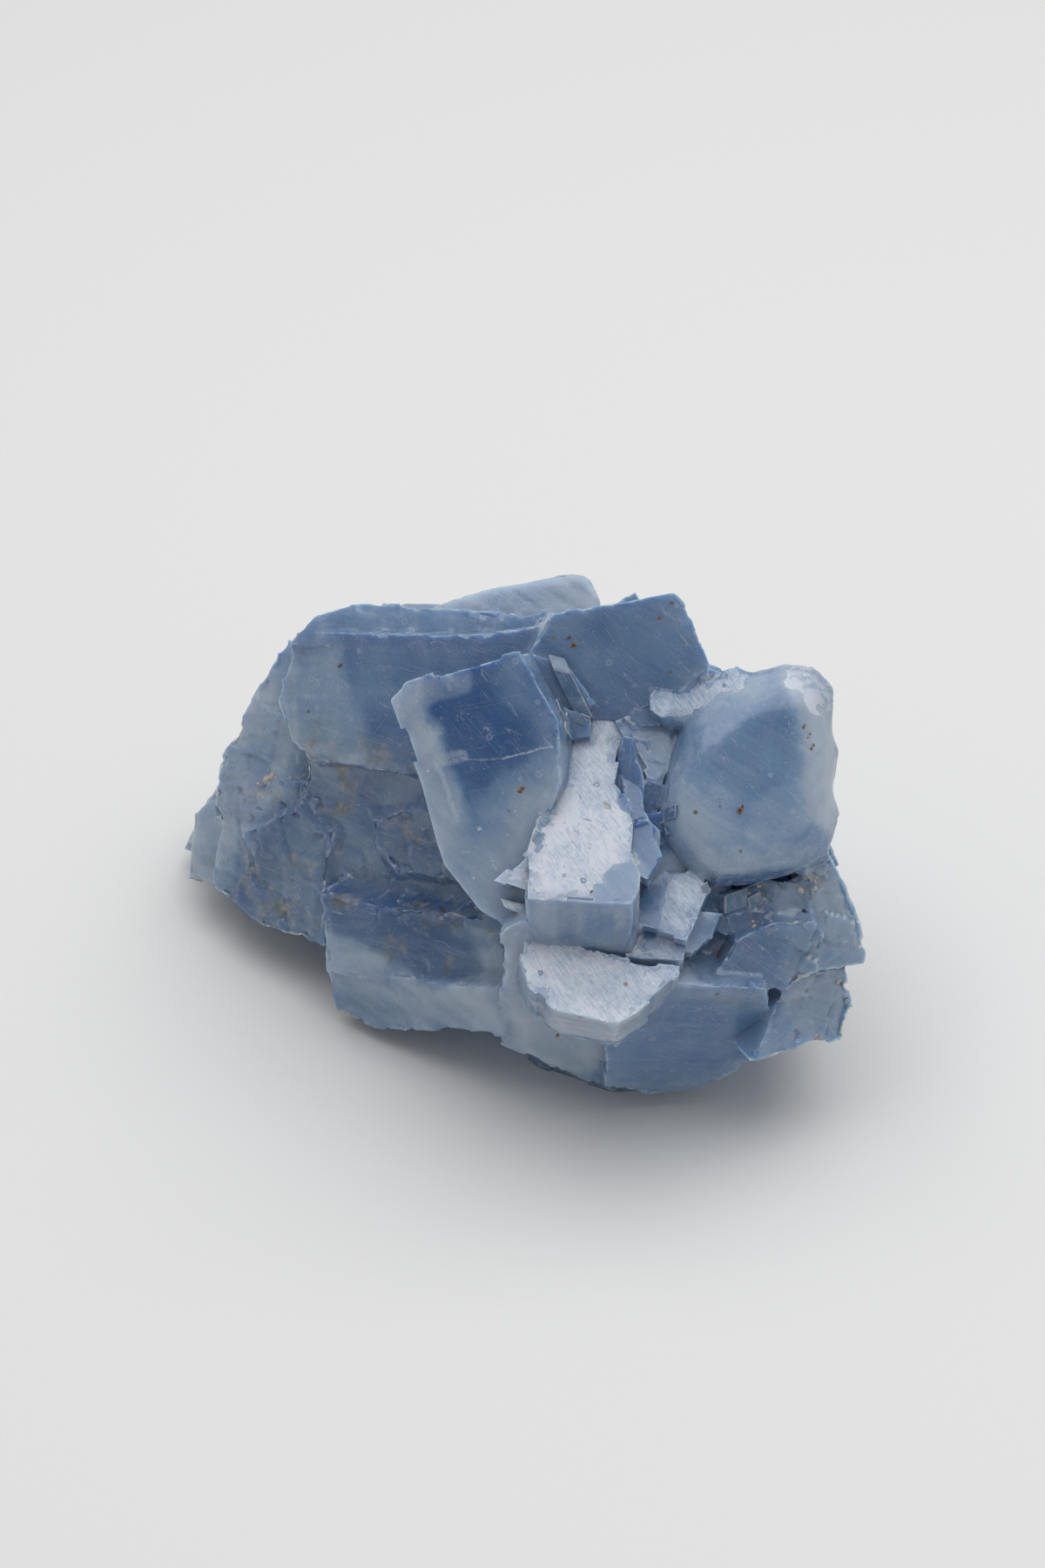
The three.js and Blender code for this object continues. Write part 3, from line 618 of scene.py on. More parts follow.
def crumb_seed():
    """One rounded, uneven crumb, 1 m wide."""
    deselect()
    bpy.ops.mesh.primitive_ico_sphere_add(subdivisions=2, radius=0.5, location=(0, 0, 0))
    seed = bpy.context.active_object
    points = np.array([v.co[:] for v in seed.data.vertices])
    grown = points * (1 + 0.35 * smooth_noise(points, 0.5, 401, 2))[:, None]
    seed.data.vertices.foreach_set("co", grown.ravel())
    bpy.ops.object.shade_smooth_by_angle(angle=math.radians(40))
    return seed


# ---- Materials -------------------------------------------------------------
# Patterns are laid out in mm, so one whose lumps are a given size in mm has 1 / size as its scale. A
# stretched one has scale 1, and its Mapping gives the lumps per mm along the lines and across them.

def add(tree, kind, inputs=(), **settings):
    """Add a node with its settings and inputs. The inputs come in the order shown on it, or by name.

    An input is a plain value, a socket to link, or a node, which is linked by its first output in use.
    """
    node = tree.nodes.new("ShaderNode" + kind)
    for name, value in settings.items():
        setattr(node, name, value)
    if not isinstance(inputs, dict):
        inputs = dict(enumerate(inputs))
    shown = [socket for socket in node.inputs if socket.enabled]
    for name, value in inputs.items():
        socket = shown[name] if isinstance(name, int) else node.inputs[name]
        if isinstance(value, bpy.types.Node):
            value = next(output for output in value.outputs if output.enabled)
        if isinstance(value, bpy.types.NodeSocket):
            tree.links.new(value, socket)
        else:
            socket.default_value = value
    return node


def new_material(name):
    """A material whose node tree is still empty."""
    material = bpy.data.materials.new(name)
    material.use_nodes = True
    material.node_tree.nodes.clear()
    return material, material.node_tree


def in_mm(tree):
    """The piece's own coordinates, in mm."""
    space = add(tree, "TexCoord").outputs["Object"]
    return add(tree, "Mapping", {"Vector": space, "Scale": (1 / MM, 1 / MM, 1 / MM)})


def stretched(tree, coordinates, angle, scale):
    """Coordinates turned by an angle in the face and stretched."""
    turned = add(tree, "Mapping", {"Vector": coordinates, "Rotation": (0, 0, math.radians(angle))})
    return add(tree, "Mapping", {"Vector": turned, "Scale": scale})


def shift(tree, pattern, middle, amount):
    """A pattern's swing about its middle, scaled: 0 where it is at the middle."""
    swing = add(tree, "Math", (pattern, middle), operation="SUBTRACT")
    return add(tree, "Math", (swing, amount), operation="MULTIPLY")


def shifted(tree, value, *swings):
    """A value and, added to it, each pattern's swing about a middle, scaled."""
    for pattern, middle, amount in swings:
        value = add(tree, "Math", (value, shift(tree, pattern, middle, amount)), operation="ADD")
    return value


def calcite_marks(tree):
    """The patterns that the colours and the relief of the blue calcite share."""
    marks = SimpleNamespace(places=in_mm(tree))
    marks.face = add(tree, "Attribute", attribute_name="face_plane").outputs["Vector"]
    for name in ("depth", "haze", "polish", "edge_gap", "cleft", "warm"):
        setattr(marks, name, add(tree, "Attribute", attribute_name=name).outputs["Fac"])
    # Clouds about a millimetre wide, fine grain, and bands along the growth lines.
    marks.wisps = add(tree, "TexNoise", (marks.places, 1 / 1.1, 4, 0.6))
    marks.grain = add(tree, "TexNoise", (marks.places, 1 / 0.22, 2, 0.6))
    marks.bands = add(tree, "TexNoise", (stretched(tree, marks.face, 0, (0.12, 2.2, 1.0)), 1, 3, 0.6))

    # Frost: veils and milky clouds, broken up finely. The same mask carries painted light on the pale
    # lower parts and the thin edges.
    frost_and_light = shifted(tree, marks.haze, (marks.wisps, 0.5, 0.7), (marks.grain, 0.5, 0.45))
    frost_and_light = add(tree, "MapRange", (frost_and_light, 0.0, 1.1), interpolation_type="SMOOTHSTEP")
    marks.frost_and_light = add(tree, "Math", (frost_and_light, 0.85), operation="MULTIPLY")

    # Step lines: thin contours of a slow terrain, in patches.
    terrain = add(tree, "TexNoise", (stretched(tree, marks.face, 20, (0.06, 0.35, 1.0)), 1, 3, 0.6))
    rank = add(tree, "Math", (terrain, 6.0), operation="MULTIPLY")
    rank = add(tree, "Math", (rank,), operation="FRACT")
    contour = add(tree, "MapRange", (rank, 0.035, 0.01), interpolation_type="SMOOTHSTEP")
    patchy = add(tree, "MapRange", (marks.wisps, 0.42, 0.52), interpolation_type="SMOOTHSTEP")
    marks.step_line = add(tree, "Math", (contour, patchy), operation="MULTIPLY")

    # Round spots about 2 mm apart, each with a chance of its own. Some of them are ring pits.
    spots = add(tree, "TexVoronoi", {"Vector": marks.places, "Scale": 0.5, "Randomness": 1.0})
    marks.spot_gap = spots.outputs["Distance"]
    chance = add(tree, "SeparateColor", {"Color": spots.outputs["Color"]})
    marks.chance, marks.hue = chance.outputs["Red"], chance.outputs["Green"]
    ring = shifted(tree, marks.spot_gap, (marks.grain, 0.5, 0.12))
    ring = add(tree, "Math", (ring, 0.12), operation="SUBTRACT")
    ring = add(tree, "Math", (ring,), operation="ABSOLUTE")
    ring = add(tree, "MapRange", (ring, 0.05, 0.015), interpolation_type="SMOOTHSTEP")
    pitted = add(tree, "MapRange", (marks.chance, 0.32, 0.3), interpolation_type="SMOOTHSTEP")
    marks.ring = add(tree, "Math", (ring, pitted), operation="MULTIPLY")

    # The bright treads: polished patches, ragged at their rims, finely combed along one slant. Their
    # white is a painted reflection of the overhead softbox.
    ragged = shift(tree, marks.wisps, 0.42, 3.2)
    inside = add(tree, "Math", (marks.edge_gap, ragged), operation="SUBTRACT")
    inside = add(tree, "MapRange", (inside, 0.0, 0.08), interpolation_type="SMOOTHSTEP")
    patch = shifted(tree, marks.polish, (marks.wisps, 0.5, 0.5))
    patch = add(tree, "MapRange", (patch, 0.63, 0.67), interpolation_type="SMOOTHSTEP")
    marks.tread = add(tree, "Math", (inside, patch), operation="MULTIPLY")
    marks.comb = add(tree, "TexNoise", (stretched(tree, marks.face, 0, (0.7, 5.0, 1.0)), 1, 3, 0.7))
    marks.tooth = add(tree, "TexNoise", (marks.places, 1 / 0.35, 2, 0.7))
    return marks


def blue_body(tree, marks, colours):
    """The blue, from pale clouds to deep clear zones, under its frost."""
    deepness = shifted(tree, marks.depth, (marks.bands, 0.5, 0.2), (marks.wisps, 0.5, 0.45))
    usual = add(tree, "MapRange", (deepness, 0.0, 0.55), interpolation_type="SMOOTHSTEP")
    colour = add(tree, "Mix", (usual, colours["pale"], colours["body"]), data_type="RGBA")
    deep = add(tree, "MapRange", (deepness, 0.45, 1.1), interpolation_type="SMOOTHSTEP")
    colour = add(tree, "Mix", (deep, colour, colours["deep"]), data_type="RGBA")
    return add(tree, "Mix", (marks.frost_and_light, colour, colours["frost_and_light"]), data_type="RGBA")


def white_marks(tree, marks):
    """Rims bruised and painted as highlights, straight scratches at two slants, dust, step lines, ring
    pits.
    """
    # Painted highlight: a thin white line along the sharp edges, partly real bruising.
    rim = add(tree, "MapRange", (marks.edge_gap, 0.25, 0.05), interpolation_type="SMOOTHSTEP")
    rim_patches = add(tree, "MapRange", (marks.wisps, 0.48, 0.58), interpolation_type="SMOOTHSTEP")
    lip = add(tree, "Math", (rim, rim_patches), operation="MULTIPLY")
    slants = []
    for angle, width, share in ((14, 7.0, 1.0), (-47, 9.0, 0.6)):
        line = add(tree, "TexNoise", (stretched(tree, marks.face, angle, (0.12, width, 1.0)), 1, 1.5, 0.5))
        line = add(tree, "MapRange", (line, 0.64, 0.76), interpolation_type="SMOOTHSTEP")
        slants.append(add(tree, "Math", (line, share), operation="MULTIPLY"))
    scratches = add(tree, "Math", slants, operation="MAXIMUM")
    patchy = add(tree, "MapRange", (marks.wisps, 0.3, 0.6, 0.2, 1.0), interpolation_type="SMOOTHSTEP")
    scratches = add(tree, "Math", (scratches, patchy), operation="MULTIPLY")
    dust = add(tree, "MapRange", (marks.grain, 0.69, 0.75), interpolation_type="SMOOTHSTEP")
    white = add(tree, "Math", (lip, 0.6), operation="MULTIPLY")
    for mark, share in ((scratches, 0.35), (dust, 0.5), (marks.step_line, 0.45), (marks.ring, 0.35)):
        faint = add(tree, "Math", (mark, share), operation="MULTIPLY")
        white = add(tree, "Math", (white, faint), operation="MAXIMUM")
    return white


def tread_tone(tree, marks, colours):
    """The bright treads' colour: a painted reflection, nearly white, with dark step lines and ring pits."""
    combed = add(tree, "MapRange", (marks.comb, 0.3, 0.62, 0.55, 1.0), interpolation_type="SMOOTHSTEP")
    whitened = shifted(tree, combed, (marks.haze, 0.35, 0.5), (marks.tooth, 0.5, 0.9),
                       (marks.wisps, 0.55, 0.7))
    blued = shift(tree, marks.depth, 0.25, 0.8)
    whitened = add(tree, "Math", (whitened, blued), operation="SUBTRACT", use_clamp=True)
    tone = add(tree, "Mix", (whitened, colours["body"], colours["tread"]), data_type="RGBA")
    pits = add(tree, "Math", (marks.ring, 0.8), operation="MULTIPLY")
    lines = add(tree, "Math", (marks.step_line, 0.55), operation="MULTIPLY")
    dark = add(tree, "Math", (pits, lines), operation="MAXIMUM")
    return add(tree, "Mix", (dark, tone, colours["deep"]), data_type="RGBA")


# Single cracks, streaks and stains: from, to, half width, colour, strength. Places are in mm.
VEINS = [
    # The white crack across the deep rhomb, with a short pale ledge and a streak beside it.
    ((-4.0, -14.3, 34.8), (-0.6, -15.2, 35.6), 0.12, "frost_and_light", 0.3),
    ((-0.6, -15.2, 35.6), (3.6, -15.9, 37.3), 0.13, "frost_and_light", 0.8),
    ((-6.3, -13.8, 34.3), (-4.2, -14.2, 35.1), 0.75, "frost_and_light", 0.45),
    ((-6.4, -13.8, 34.0), (-4.6, -16.4, 30.0), 0.3, "frost_and_light", 0.6),
    ((-6.9, -12.5, 36.5), (-2.5, -13.2, 36.0), 0.25, "frost_and_light", 0.3),
    # Dark step lines in the bright treads, two round pits and an olive stain.
    ((3.2, -18.2, 32.2), (6.9, -18.8, 31.6), 0.14, "deep", 0.6),
    ((15.6, -10.0, 40.8), (15.6, -12.2, 38.3), 0.22, "body", 0.9),
    ((4.2, -16.9, 33.2), (4.9, -18.4, 32.0), 0.12, "deep", 0.5),
    ((7.4, -15.8, 33.3), (7.5, -15.8, 33.3), 0.34, "deep", 0.75),
    ((7.4, -15.8, 33.3), (7.5, -15.8, 33.3), 0.17, "frost_and_light", 0.8),
    ((15.3, -22.9, 24.5), (15.4, -22.9, 24.5), 0.36, "body", 0.9),
    ((8.2, -17.5, 32.4), (8.4, -17.7, 32.3), 0.4, "stain", 0.55),
]


def vein(tree, places, start, end, width):
    """1 on the line from start to end, 0 past its half width."""
    run = Vector(end) - Vector(start)
    offset = add(tree, "VectorMath", (places, start), operation="SUBTRACT")
    along = add(tree, "VectorMath", (offset, run / run.length_squared), operation="DOT_PRODUCT")
    along = add(tree, "Math", (along, 0.0), operation="ADD", use_clamp=True)
    nearest = add(tree, "VectorMath", (run, along), operation="SCALE")
    gap = add(tree, "VectorMath", (offset, nearest), operation="DISTANCE")
    return add(tree, "MapRange", (gap, width, width * 0.5), interpolation_type="SMOOTHSTEP")


def with_veins(tree, marks, colours, colour):
    """The single cracks, streaks and stains, each wandering a little and broken by the grain."""
    sway = add(tree, "CombineXYZ", {"X": shift(tree, marks.wisps, 0.5, 0.4),
                                    "Z": shift(tree, marks.wisps, 0.5, 0.8)})
    places = add(tree, "VectorMath", (sway, marks.places), operation="ADD")
    broken = add(tree, "MapRange", (marks.grain, 0.35, 0.55, 0.4, 1.0), interpolation_type="SMOOTHSTEP")
    for start, end, width, tone, strength in VEINS:
        mark = vein(tree, places, start, end, width)
        for share in (strength, broken):
            mark = add(tree, "Math", (mark, share), operation="MULTIPLY")
        colour = add(tree, "Mix", (mark, colour, colours[tone]), data_type="RGBA")
    return colour


def with_stains_and_cleft_shade(tree, marks, colours, colour):
    """Olive to rust specks half a millimetre wide, cream and olive matrix, and painted shade in clefts."""
    here = add(tree, "MapRange", (marks.chance, 0.84, 0.86), interpolation_type="SMOOTHSTEP")
    speck = add(tree, "MapRange", (marks.spot_gap, 0.13, 0.08), interpolation_type="SMOOTHSTEP")
    for share in (here, 0.75):
        speck = add(tree, "Math", (speck, share), operation="MULTIPLY")
    rust = add(tree, "Mix", (marks.hue, colours["stain"], colours["rust"]), data_type="RGBA")

    patches = add(tree, "TexNoise", (marks.places, 1 / 3, 3, 0.6))
    patches = add(tree, "MapRange", (patches, 0.52, 0.72), interpolation_type="SMOOTHSTEP")
    matrix = add(tree, "Math", (marks.warm, patches), operation="MULTIPLY")
    creamy = add(tree, "MapRange", (marks.wisps, 0.4, 0.6), interpolation_type="SMOOTHSTEP")
    rock = add(tree, "Mix", (creamy, colours["stain"], colours["cream"]), data_type="RGBA")
    olive = add(tree, "Math", (marks.warm, 0.22), operation="MULTIPLY")
    # Painted shade: the blue is darkened in the clefts.
    cleft_shading = add(tree, "Math", (marks.cleft, 0.3), operation="MULTIPLY")
    for mark, tone in ((speck, rust), (olive, colours["stain"]), (matrix, rock), (cleft_shading, colours["deep"])):
        colour = add(tree, "Mix", (mark, colour, tone), data_type="RGBA")
    return colour


def calcite_roughness(tree, marks):
    """Glassy with soft waves. The treads are combed, and frosted parts are duller."""
    smooth = add(tree, "Math", (marks.wisps, 0.08), operation="MULTIPLY")
    smooth = add(tree, "Math", (smooth, 0.12), operation="ADD")
    dull = add(tree, "Math", (marks.frost_and_light, 0.12), operation="MULTIPLY")
    smooth = add(tree, "Math", (smooth, dull), operation="ADD")
    smooth = add(tree, "Math", (smooth, 0.26), operation="MINIMUM")
    combed = add(tree, "Math", (marks.comb, 0.15), operation="MULTIPLY")
    combed = add(tree, "Math", (combed, 0.29), operation="ADD")
    return add(tree, "Mix", (marks.tread, smooth, combed), data_type="FLOAT")


def calcite_relief(tree, marks):
    """The fine relief: combed treads, growth bands, grain and tooth."""
    relief = add(tree, "Math", (marks.comb, marks.tread), operation="MULTIPLY")
    for pattern, share in ((marks.bands, 0.6), (marks.grain, 0.3), (marks.tooth, 0.5)):
        part = add(tree, "Math", (pattern, share), operation="MULTIPLY")
        relief = add(tree, "Math", (relief, part), operation="ADD")
    return add(tree, "Bump", {"Strength": 0.35, "Distance": 0.09 * MM, "Height": relief})


def finish_mineral(tree, shader):
    """Blue absorption inside a see-through mineral, under its surface."""
    body = add(tree, "VolumeAbsorption", {"Color": linear(BODY_TINT), "Density": BODY_DENSITY})
    add(tree, "OutputMaterial", {"Surface": shader, "Volume": body})


def calcite_material(colours):
    """Blue calcite, cleaved and raw: a cloudy, see-through body under smooth faces that gleam."""
    material, tree = new_material("blue_calcite_cleaved")
    marks = calcite_marks(tree)
    colour = blue_body(tree, marks, colours)
    colour = add(tree, "Mix", (white_marks(tree, marks), colour, colours["frost_and_light"]), data_type="RGBA")
    # Painted reflection: the treads are painted nearly white, as the overhead softbox would light them.
    tread = add(tree, "Math", (marks.tread, 0.9), operation="MULTIPLY")
    colour = add(tree, "Mix", (tread, colour, tread_tone(tree, marks, colours)), data_type="RGBA")
    colour = with_veins(tree, marks, colours, colour)
    colour = with_stains_and_cleft_shade(tree, marks, colours, colour)
    finish_mineral(tree, add(tree, "BsdfPrincipled", {
        "Base Color": colour,
        "Roughness": calcite_roughness(tree, marks),
        "Normal": calcite_relief(tree, marks),
        "IOR": CALCITE_IOR,
        "Subsurface Weight": 1.0,
        "Subsurface Radius": (0.45, 0.7, 1.0),
        "Subsurface Scale": 1.5 * MM,
        "Transmission Weight": 0.2,
    }))
    return material


def clear_calcite_material(colours):
    """Clear calcite: nearly colourless glassy rhombs, faint veils, fine lines and rims painted as glints.
    """
    material, tree = new_material("clear_calcite")
    places = in_mm(tree)
    veil = add(tree, "TexNoise", {"Vector": places, "Scale": 1 / 1.6, "Detail": 3, "Roughness": 0.5,
                                  "Distortion": 0.5})
    veil = add(tree, "MapRange", (veil, 0.4, 0.8), interpolation_type="SMOOTHSTEP")
    lines = add(tree, "TexNoise", (stretched(tree, places, 35, (0.6, 7.0, 2.0)), 1, 2, 0.6))
    streak = add(tree, "MapRange", (lines, 0.58, 0.72, 0.0, 0.5), interpolation_type="SMOOTHSTEP")
    # Painted glints: the rhombs' narrow rim faces are painted white.
    rim = add(tree, "Attribute", attribute_name="rim").outputs["Fac"]
    rim = add(tree, "Math", (rim, 0.55), operation="MULTIPLY")
    white = add(tree, "Math", (streak, rim), operation="MAXIMUM")
    colour = add(tree, "Mix", (veil, colours["body"], colours["pale"]), data_type="RGBA")
    finish_mineral(tree, add(tree, "BsdfPrincipled", {
        "Base Color": add(tree, "Mix", (white, colour, colours["tread"]), data_type="RGBA"),
        "Roughness": add(tree, "MapRange", (veil, 0.0, 1.0, 0.05, 0.16), interpolation_type="SMOOTHSTEP"),
        "Transmission Weight": add(tree, "MapRange", (veil, 0.0, 1.0, 0.5, 0.35),
                                   interpolation_type="SMOOTHSTEP"),
        "Normal": add(tree, "Bump", {"Strength": 0.3, "Distance": 0.05 * MM, "Height": lines}),
        "IOR": CALCITE_IOR,
        "Subsurface Weight": 0.6,
        "Subsurface Scale": 1.0 * MM,
    }))
    return material


def grain_material(colours):
    """Brown iron mineral grains: dark and rusty, with a dull gold gleam."""
    material, tree = new_material("brown_iron_grains")
    patches = add(tree, "TexNoise", (in_mm(tree), 1 / 0.25, 3, 0.6))
    golden = add(tree, "MapRange", (patches, 0.4, 0.6), interpolation_type="SMOOTHSTEP")
    shader = add(tree, "BsdfPrincipled", {
        "Base Color": add(tree, "Mix", (golden, colours["rust"], linear(DULL_GOLD)), data_type="RGBA"),
        "Roughness": add(tree, "MapRange", (patches, 0.3, 0.7, 0.6, 0.3), interpolation_type="SMOOTHSTEP"),
        "Normal": add(tree, "Bump", {"Strength": 0.4, "Distance": 0.05 * MM, "Height": patches}),
        "Metallic": 0.25,
    })
    add(tree, "OutputMaterial", {"Surface": shader})
    return material


def crumb_material(colours):
    """Cream and pink rock crumbs: chalky, mottled with olive."""
    material, tree = new_material("cream_rock_crumbs")
    places = in_mm(tree)
    patches = add(tree, "TexNoise", (places, 1 / 1.2, 4, 0.6))
    tooth = add(tree, "TexNoise", (places, 1 / 0.15, 2, 0.6))
    creamy = add(tree, "MapRange", (patches, 0.35, 0.55), interpolation_type="SMOOTHSTEP")
    colour = add(tree, "Mix", (creamy, colours["body"], colours["cream"]), data_type="RGBA")
    olive = add(tree, "MapRange", (patches, 0.58, 0.72, 0.0, 0.6), interpolation_type="SMOOTHSTEP")
    shader = add(tree, "BsdfPrincipled", {
        "Base Color": add(tree, "Mix", (olive, colour, colours["stain"]), data_type="RGBA"),
        "Roughness": add(tree, "MapRange", (tooth, 0.2, 0.8, 0.6, 0.9), interpolation_type="SMOOTHSTEP"),
        "Normal": add(tree, "Bump", {"Strength": 0.5, "Distance": 0.08 * MM, "Height": tooth}),
        "Subsurface Weight": 0.3,
        "Subsurface Scale": 0.6 * MM,
    })
    add(tree, "OutputMaterial", {"Surface": shader})
    return material


def floor_material(colour):
    """Matt pale paper sweep: even and soft, with the faintest tooth, drawn 1.2 mm coarse."""
    material, tree = new_material("paper_sweep")
    space = add(tree, "TexCoord").outputs["Object"]
    tooth = add(tree, "TexNoise", (space, 1 / (1.2 * MM), 3, 0.55))
    near = tuple(c * 0.985 for c in colour[:3]) + (1.0,)
    shader = add(tree, "BsdfPrincipled", {
        "Base Color": add(tree, "Mix", (tooth, colour, near), data_type="RGBA"),
        "Normal": add(tree, "Bump", {"Strength": 0.05, "Distance": 0.1 * MM, "Height": tooth}),
        "Roughness": 0.9,
        "Specular IOR Level": 0.2,
    })
    add(tree, "OutputMaterial", {"Surface": shader})
    return material


# ---- What a user would change ----------------------------------------------

class CalciteSizes(bpy.types.PropertyGroup):
    """Sizes of the piece's surface."""
    mesh_spacing: FloatProperty(name="Mesh spacing", default=0.37 * MM, unit="LENGTH",
                                description="Run between two points of the fine surface")
    edge_wear: FloatProperty(name="Edge wear", default=0.03 * MM, unit="LENGTH",
                             description="How far the sharp edges are worn back")
    layer_step: FloatProperty(name="Layer step", default=0.1 * MM, unit="LENGTH",
                              description="Height of the small steps between growth layers")


class CalciteColours(bpy.types.PropertyGroup):
    """Colours of the mineral."""
    deep: FloatVectorProperty(name="Deep blue", subtype="COLOR", size=4, default=linear("2d5f98"),
                              description="The clear, deep zones")
    body: FloatVectorProperty(name="Body blue", subtype="COLOR", size=4, default=linear("7799bb"),
                              description="The usual blue")
    pale: FloatVectorProperty(name="Pale blue", subtype="COLOR", size=4, default=linear("a9b9cb"),
                              description="The cloudy, pale zones")
    # Frost also paints the highlights on sharp rims and the light through thin edges.
    frost_and_light: FloatVectorProperty(name="Frost", subtype="COLOR", size=4, default=linear("c6d0de"),
                               description="Veils, bruised rims, scratches and cracks")
    stain: FloatVectorProperty(name="Olive stain", subtype="COLOR", size=4, default=linear("7f7a4e"),
                               description="Olive stains in the hollows")
    cream: FloatVectorProperty(name="Cream matrix", subtype="COLOR", size=4, default=linear("bcb0a2"),
                               description="Cream and pink rock in the hollows")
    rust: FloatVectorProperty(name="Rust speck", subtype="COLOR", size=4, default=linear("5a3a1c"),
                              description="Brown grains and specks")
    # This white is a painted reflection of the softbox on the treads, and painted glints on the clear rims.
    tread: FloatVectorProperty(name="Tread white", subtype="COLOR", size=4, default=linear("e2e7f1"),
                               description="The bright, scratched cleavage faces")


class StudioSizes(bpy.types.PropertyGroup):
    """The camera, the light and the floor."""
    target: FloatVectorProperty(name="Target", subtype="TRANSLATION",
                                default=(1.03 * MM, -16.94 * MM, 34.1 * MM),
                                description="Point in the middle of the view")
    distance: FloatProperty(name="Camera distance", default=0.47, unit="LENGTH",
                            description="From the camera to the target")
    elevation: FloatProperty(name="Camera elevation", default=math.radians(35), unit="ROTATION",
                             description="How far the camera looks down")
    view_height: FloatProperty(name="View height", default=0.135, unit="LENGTH",
                               description="Height of the view at the target")
    softbox: FloatProperty(name="Softbox size", default=0.65, unit="LENGTH",
                           description="Side of the overhead softbox")
    softbox_place: FloatVectorProperty(name="Softbox place", subtype="TRANSLATION",
                                       default=(0.07, 0.06, 0.5),
                                       description="Middle of the overhead softbox")
    floor_size: FloatProperty(name="Floor size", default=3.0, unit="LENGTH",
                              description="Side of the pale floor")
    floor_colour: FloatVectorProperty(name="Floor colour", subtype="COLOR", size=4,
                                      default=linear("e6e6e6"), description="The pale floor")


# ---- Operators -------------------------------------------------------------

def mesh_object(name, points, triangles, material):
    """A new object from points in mm and triangles."""
    mesh = bpy.data.meshes.new(name)
    mesh.from_pydata((points * MM).tolist(), [], triangles.tolist())
    mesh.update()
    piece = bpy.data.objects.new(name, mesh)
    bpy.context.collection.objects.link(piece)
    mesh.materials.append(material)
    return piece


class CALCITE_OT_cluster(bpy.types.Operator):
    """Carve the broken, chipped and stepped surface of the whole piece"""
    bl_idname = "calcite.cluster"
    bl_label = "Crystal cluster"

    def execute(self, context):
        scene = context.scene
        sizes = scene.calcite_sizes
        colours = scene_colours(scene)
        # Thousands of small breaks can't be shaped by hand tools, so each point's place is worked out.
        points, triangles, owners, normals = fine_mesh(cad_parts[NODE], sizes.mesh_spacing / MM)
        shape, traits, axes = carved(points, triangles, owners, normals, sizes)
        piece = mesh_object("cluster_surface", shape, triangles, calcite_material(colours))
        mesh = piece.data
        for name, values in traits.items():
            mesh.attributes.new(name, "FLOAT", "POINT").data.foreach_set("value", values)
        # Where each corner lies in its flat face, in mm, and which face it is, for the patterns.
        across, up = axes[owners, 0], axes[owners, 1]
        corner_points = points[triangles]
        plane = np.stack([(corner_points * across[:, None]).sum(2), (corner_points * up[:, None]).sum(2),
                          np.repeat(owners[:, None], 3, 1) * FACES_APART], 2)
        face_plane = mesh.attributes.new("face_plane", "FLOAT_VECTOR", "CORNER")
        face_plane.data.foreach_set("vector", plane.ravel())
        deselect()
        piece.select_set(True)
        context.view_layer.objects.active = piece
        bpy.ops.object.shade_smooth_by_angle(angle=math.radians(32))
        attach(piece, "root")
        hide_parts(NODE)
        return {"FINISHED"}


def surface_tree():
    """The fine surface, ready to be searched for its nearest point."""
    mesh = bpy.data.objects["cluster_surface"].data
    return BVHTree.FromPolygons([v.co[:] for v in mesh.vertices], [p.vertices[:] for p in mesh.polygons])


def scene_colours(scene):
    """The mineral colours set in the panel."""
    return {name: tuple(getattr(scene.calcite_colours, name)) for name in CalciteColours.__annotations__}


class CALCITE_OT_clear_rhombs(bpy.types.Operator):
    """Set the clear growth rhombs, large and tiny, on the broken rims"""
    bl_idname = "calcite.clear_rhombs"
    bl_label = "Clear rhombs"

    def execute(self, context):
        tree = surface_tree()
        seed = rhomb_seed()
        rhombs = []
        for place, length, thickness, turn in CLEAR_RHOMBS:
            spot, outward = snapped(tree, place)
            size = (length * MM, thickness * MM, thickness * MM * 0.9)
            sunk = spot - outward * thickness * MM * 0.22
            rhombs.append(copied(seed, sunk, outward, math.radians(turn), size))
        for row, (start, end, count, width) in enumerate(RHOMB_ROWS):
            start, run = np.array(start, float), np.subtract(end, start)
            for number in range(count):
                chance = chances(number, row * 7, 5)
                place = start + run * (number + chance[0]) / count + (np.array(chance[1:4]) - 0.5) * 0.7
                spot, outward = snapped(tree, place)
                size = width * MM * (0.5 + 0.8 * chance[4])
                sizes = (size * (1 + chance[1]), size, size * 0.8)
                turn = 0.9 + 0.5 * chance[2]
                rhombs.append(copied(seed, spot - outward * size * 0.3, outward, turn, sizes))
        bpy.data.objects.remove(seed)
        joined(rhombs, "clear_rhombs", clear_calcite_material(scene_colours(context.scene)))
        return {"FINISHED"}


class CALCITE_OT_grains(bpy.types.Operator):
    """Set the brown and gold mineral grains in the faces"""
    bl_idname = "calcite.grains"
    bl_label = "Brown grains"

    def execute(self, context):
        tree = surface_tree()
        seed = rhomb_seed()
        grains = []
        for number, (place, width) in enumerate(GRAINS):
            # Each grain is a cluster of three small crystals.
            spot, outward = snapped(tree, place)
            for part in range(3):
                chance = chances(number, 500 + part * 9, 4)
                aside = outward.orthogonal().normalized() * (chance[0] - 0.5) * width * MM * 1.2
                size = width * MM * (0.28 + 0.28 * chance[1])
                lean = (outward + Vector(chance[1:4]) - Vector((0.5, 0.5, 0.5))).normalized()
                sunk = spot + aside - outward * size * 0.2
                grains.append(copied(seed, sunk, lean, chance[2] * 6.2, (size, size, size)))
        bpy.data.objects.remove(seed)
        joined(grains, "brown_grains", grain_material(scene_colours(context.scene)))
        return {"FINISHED"}


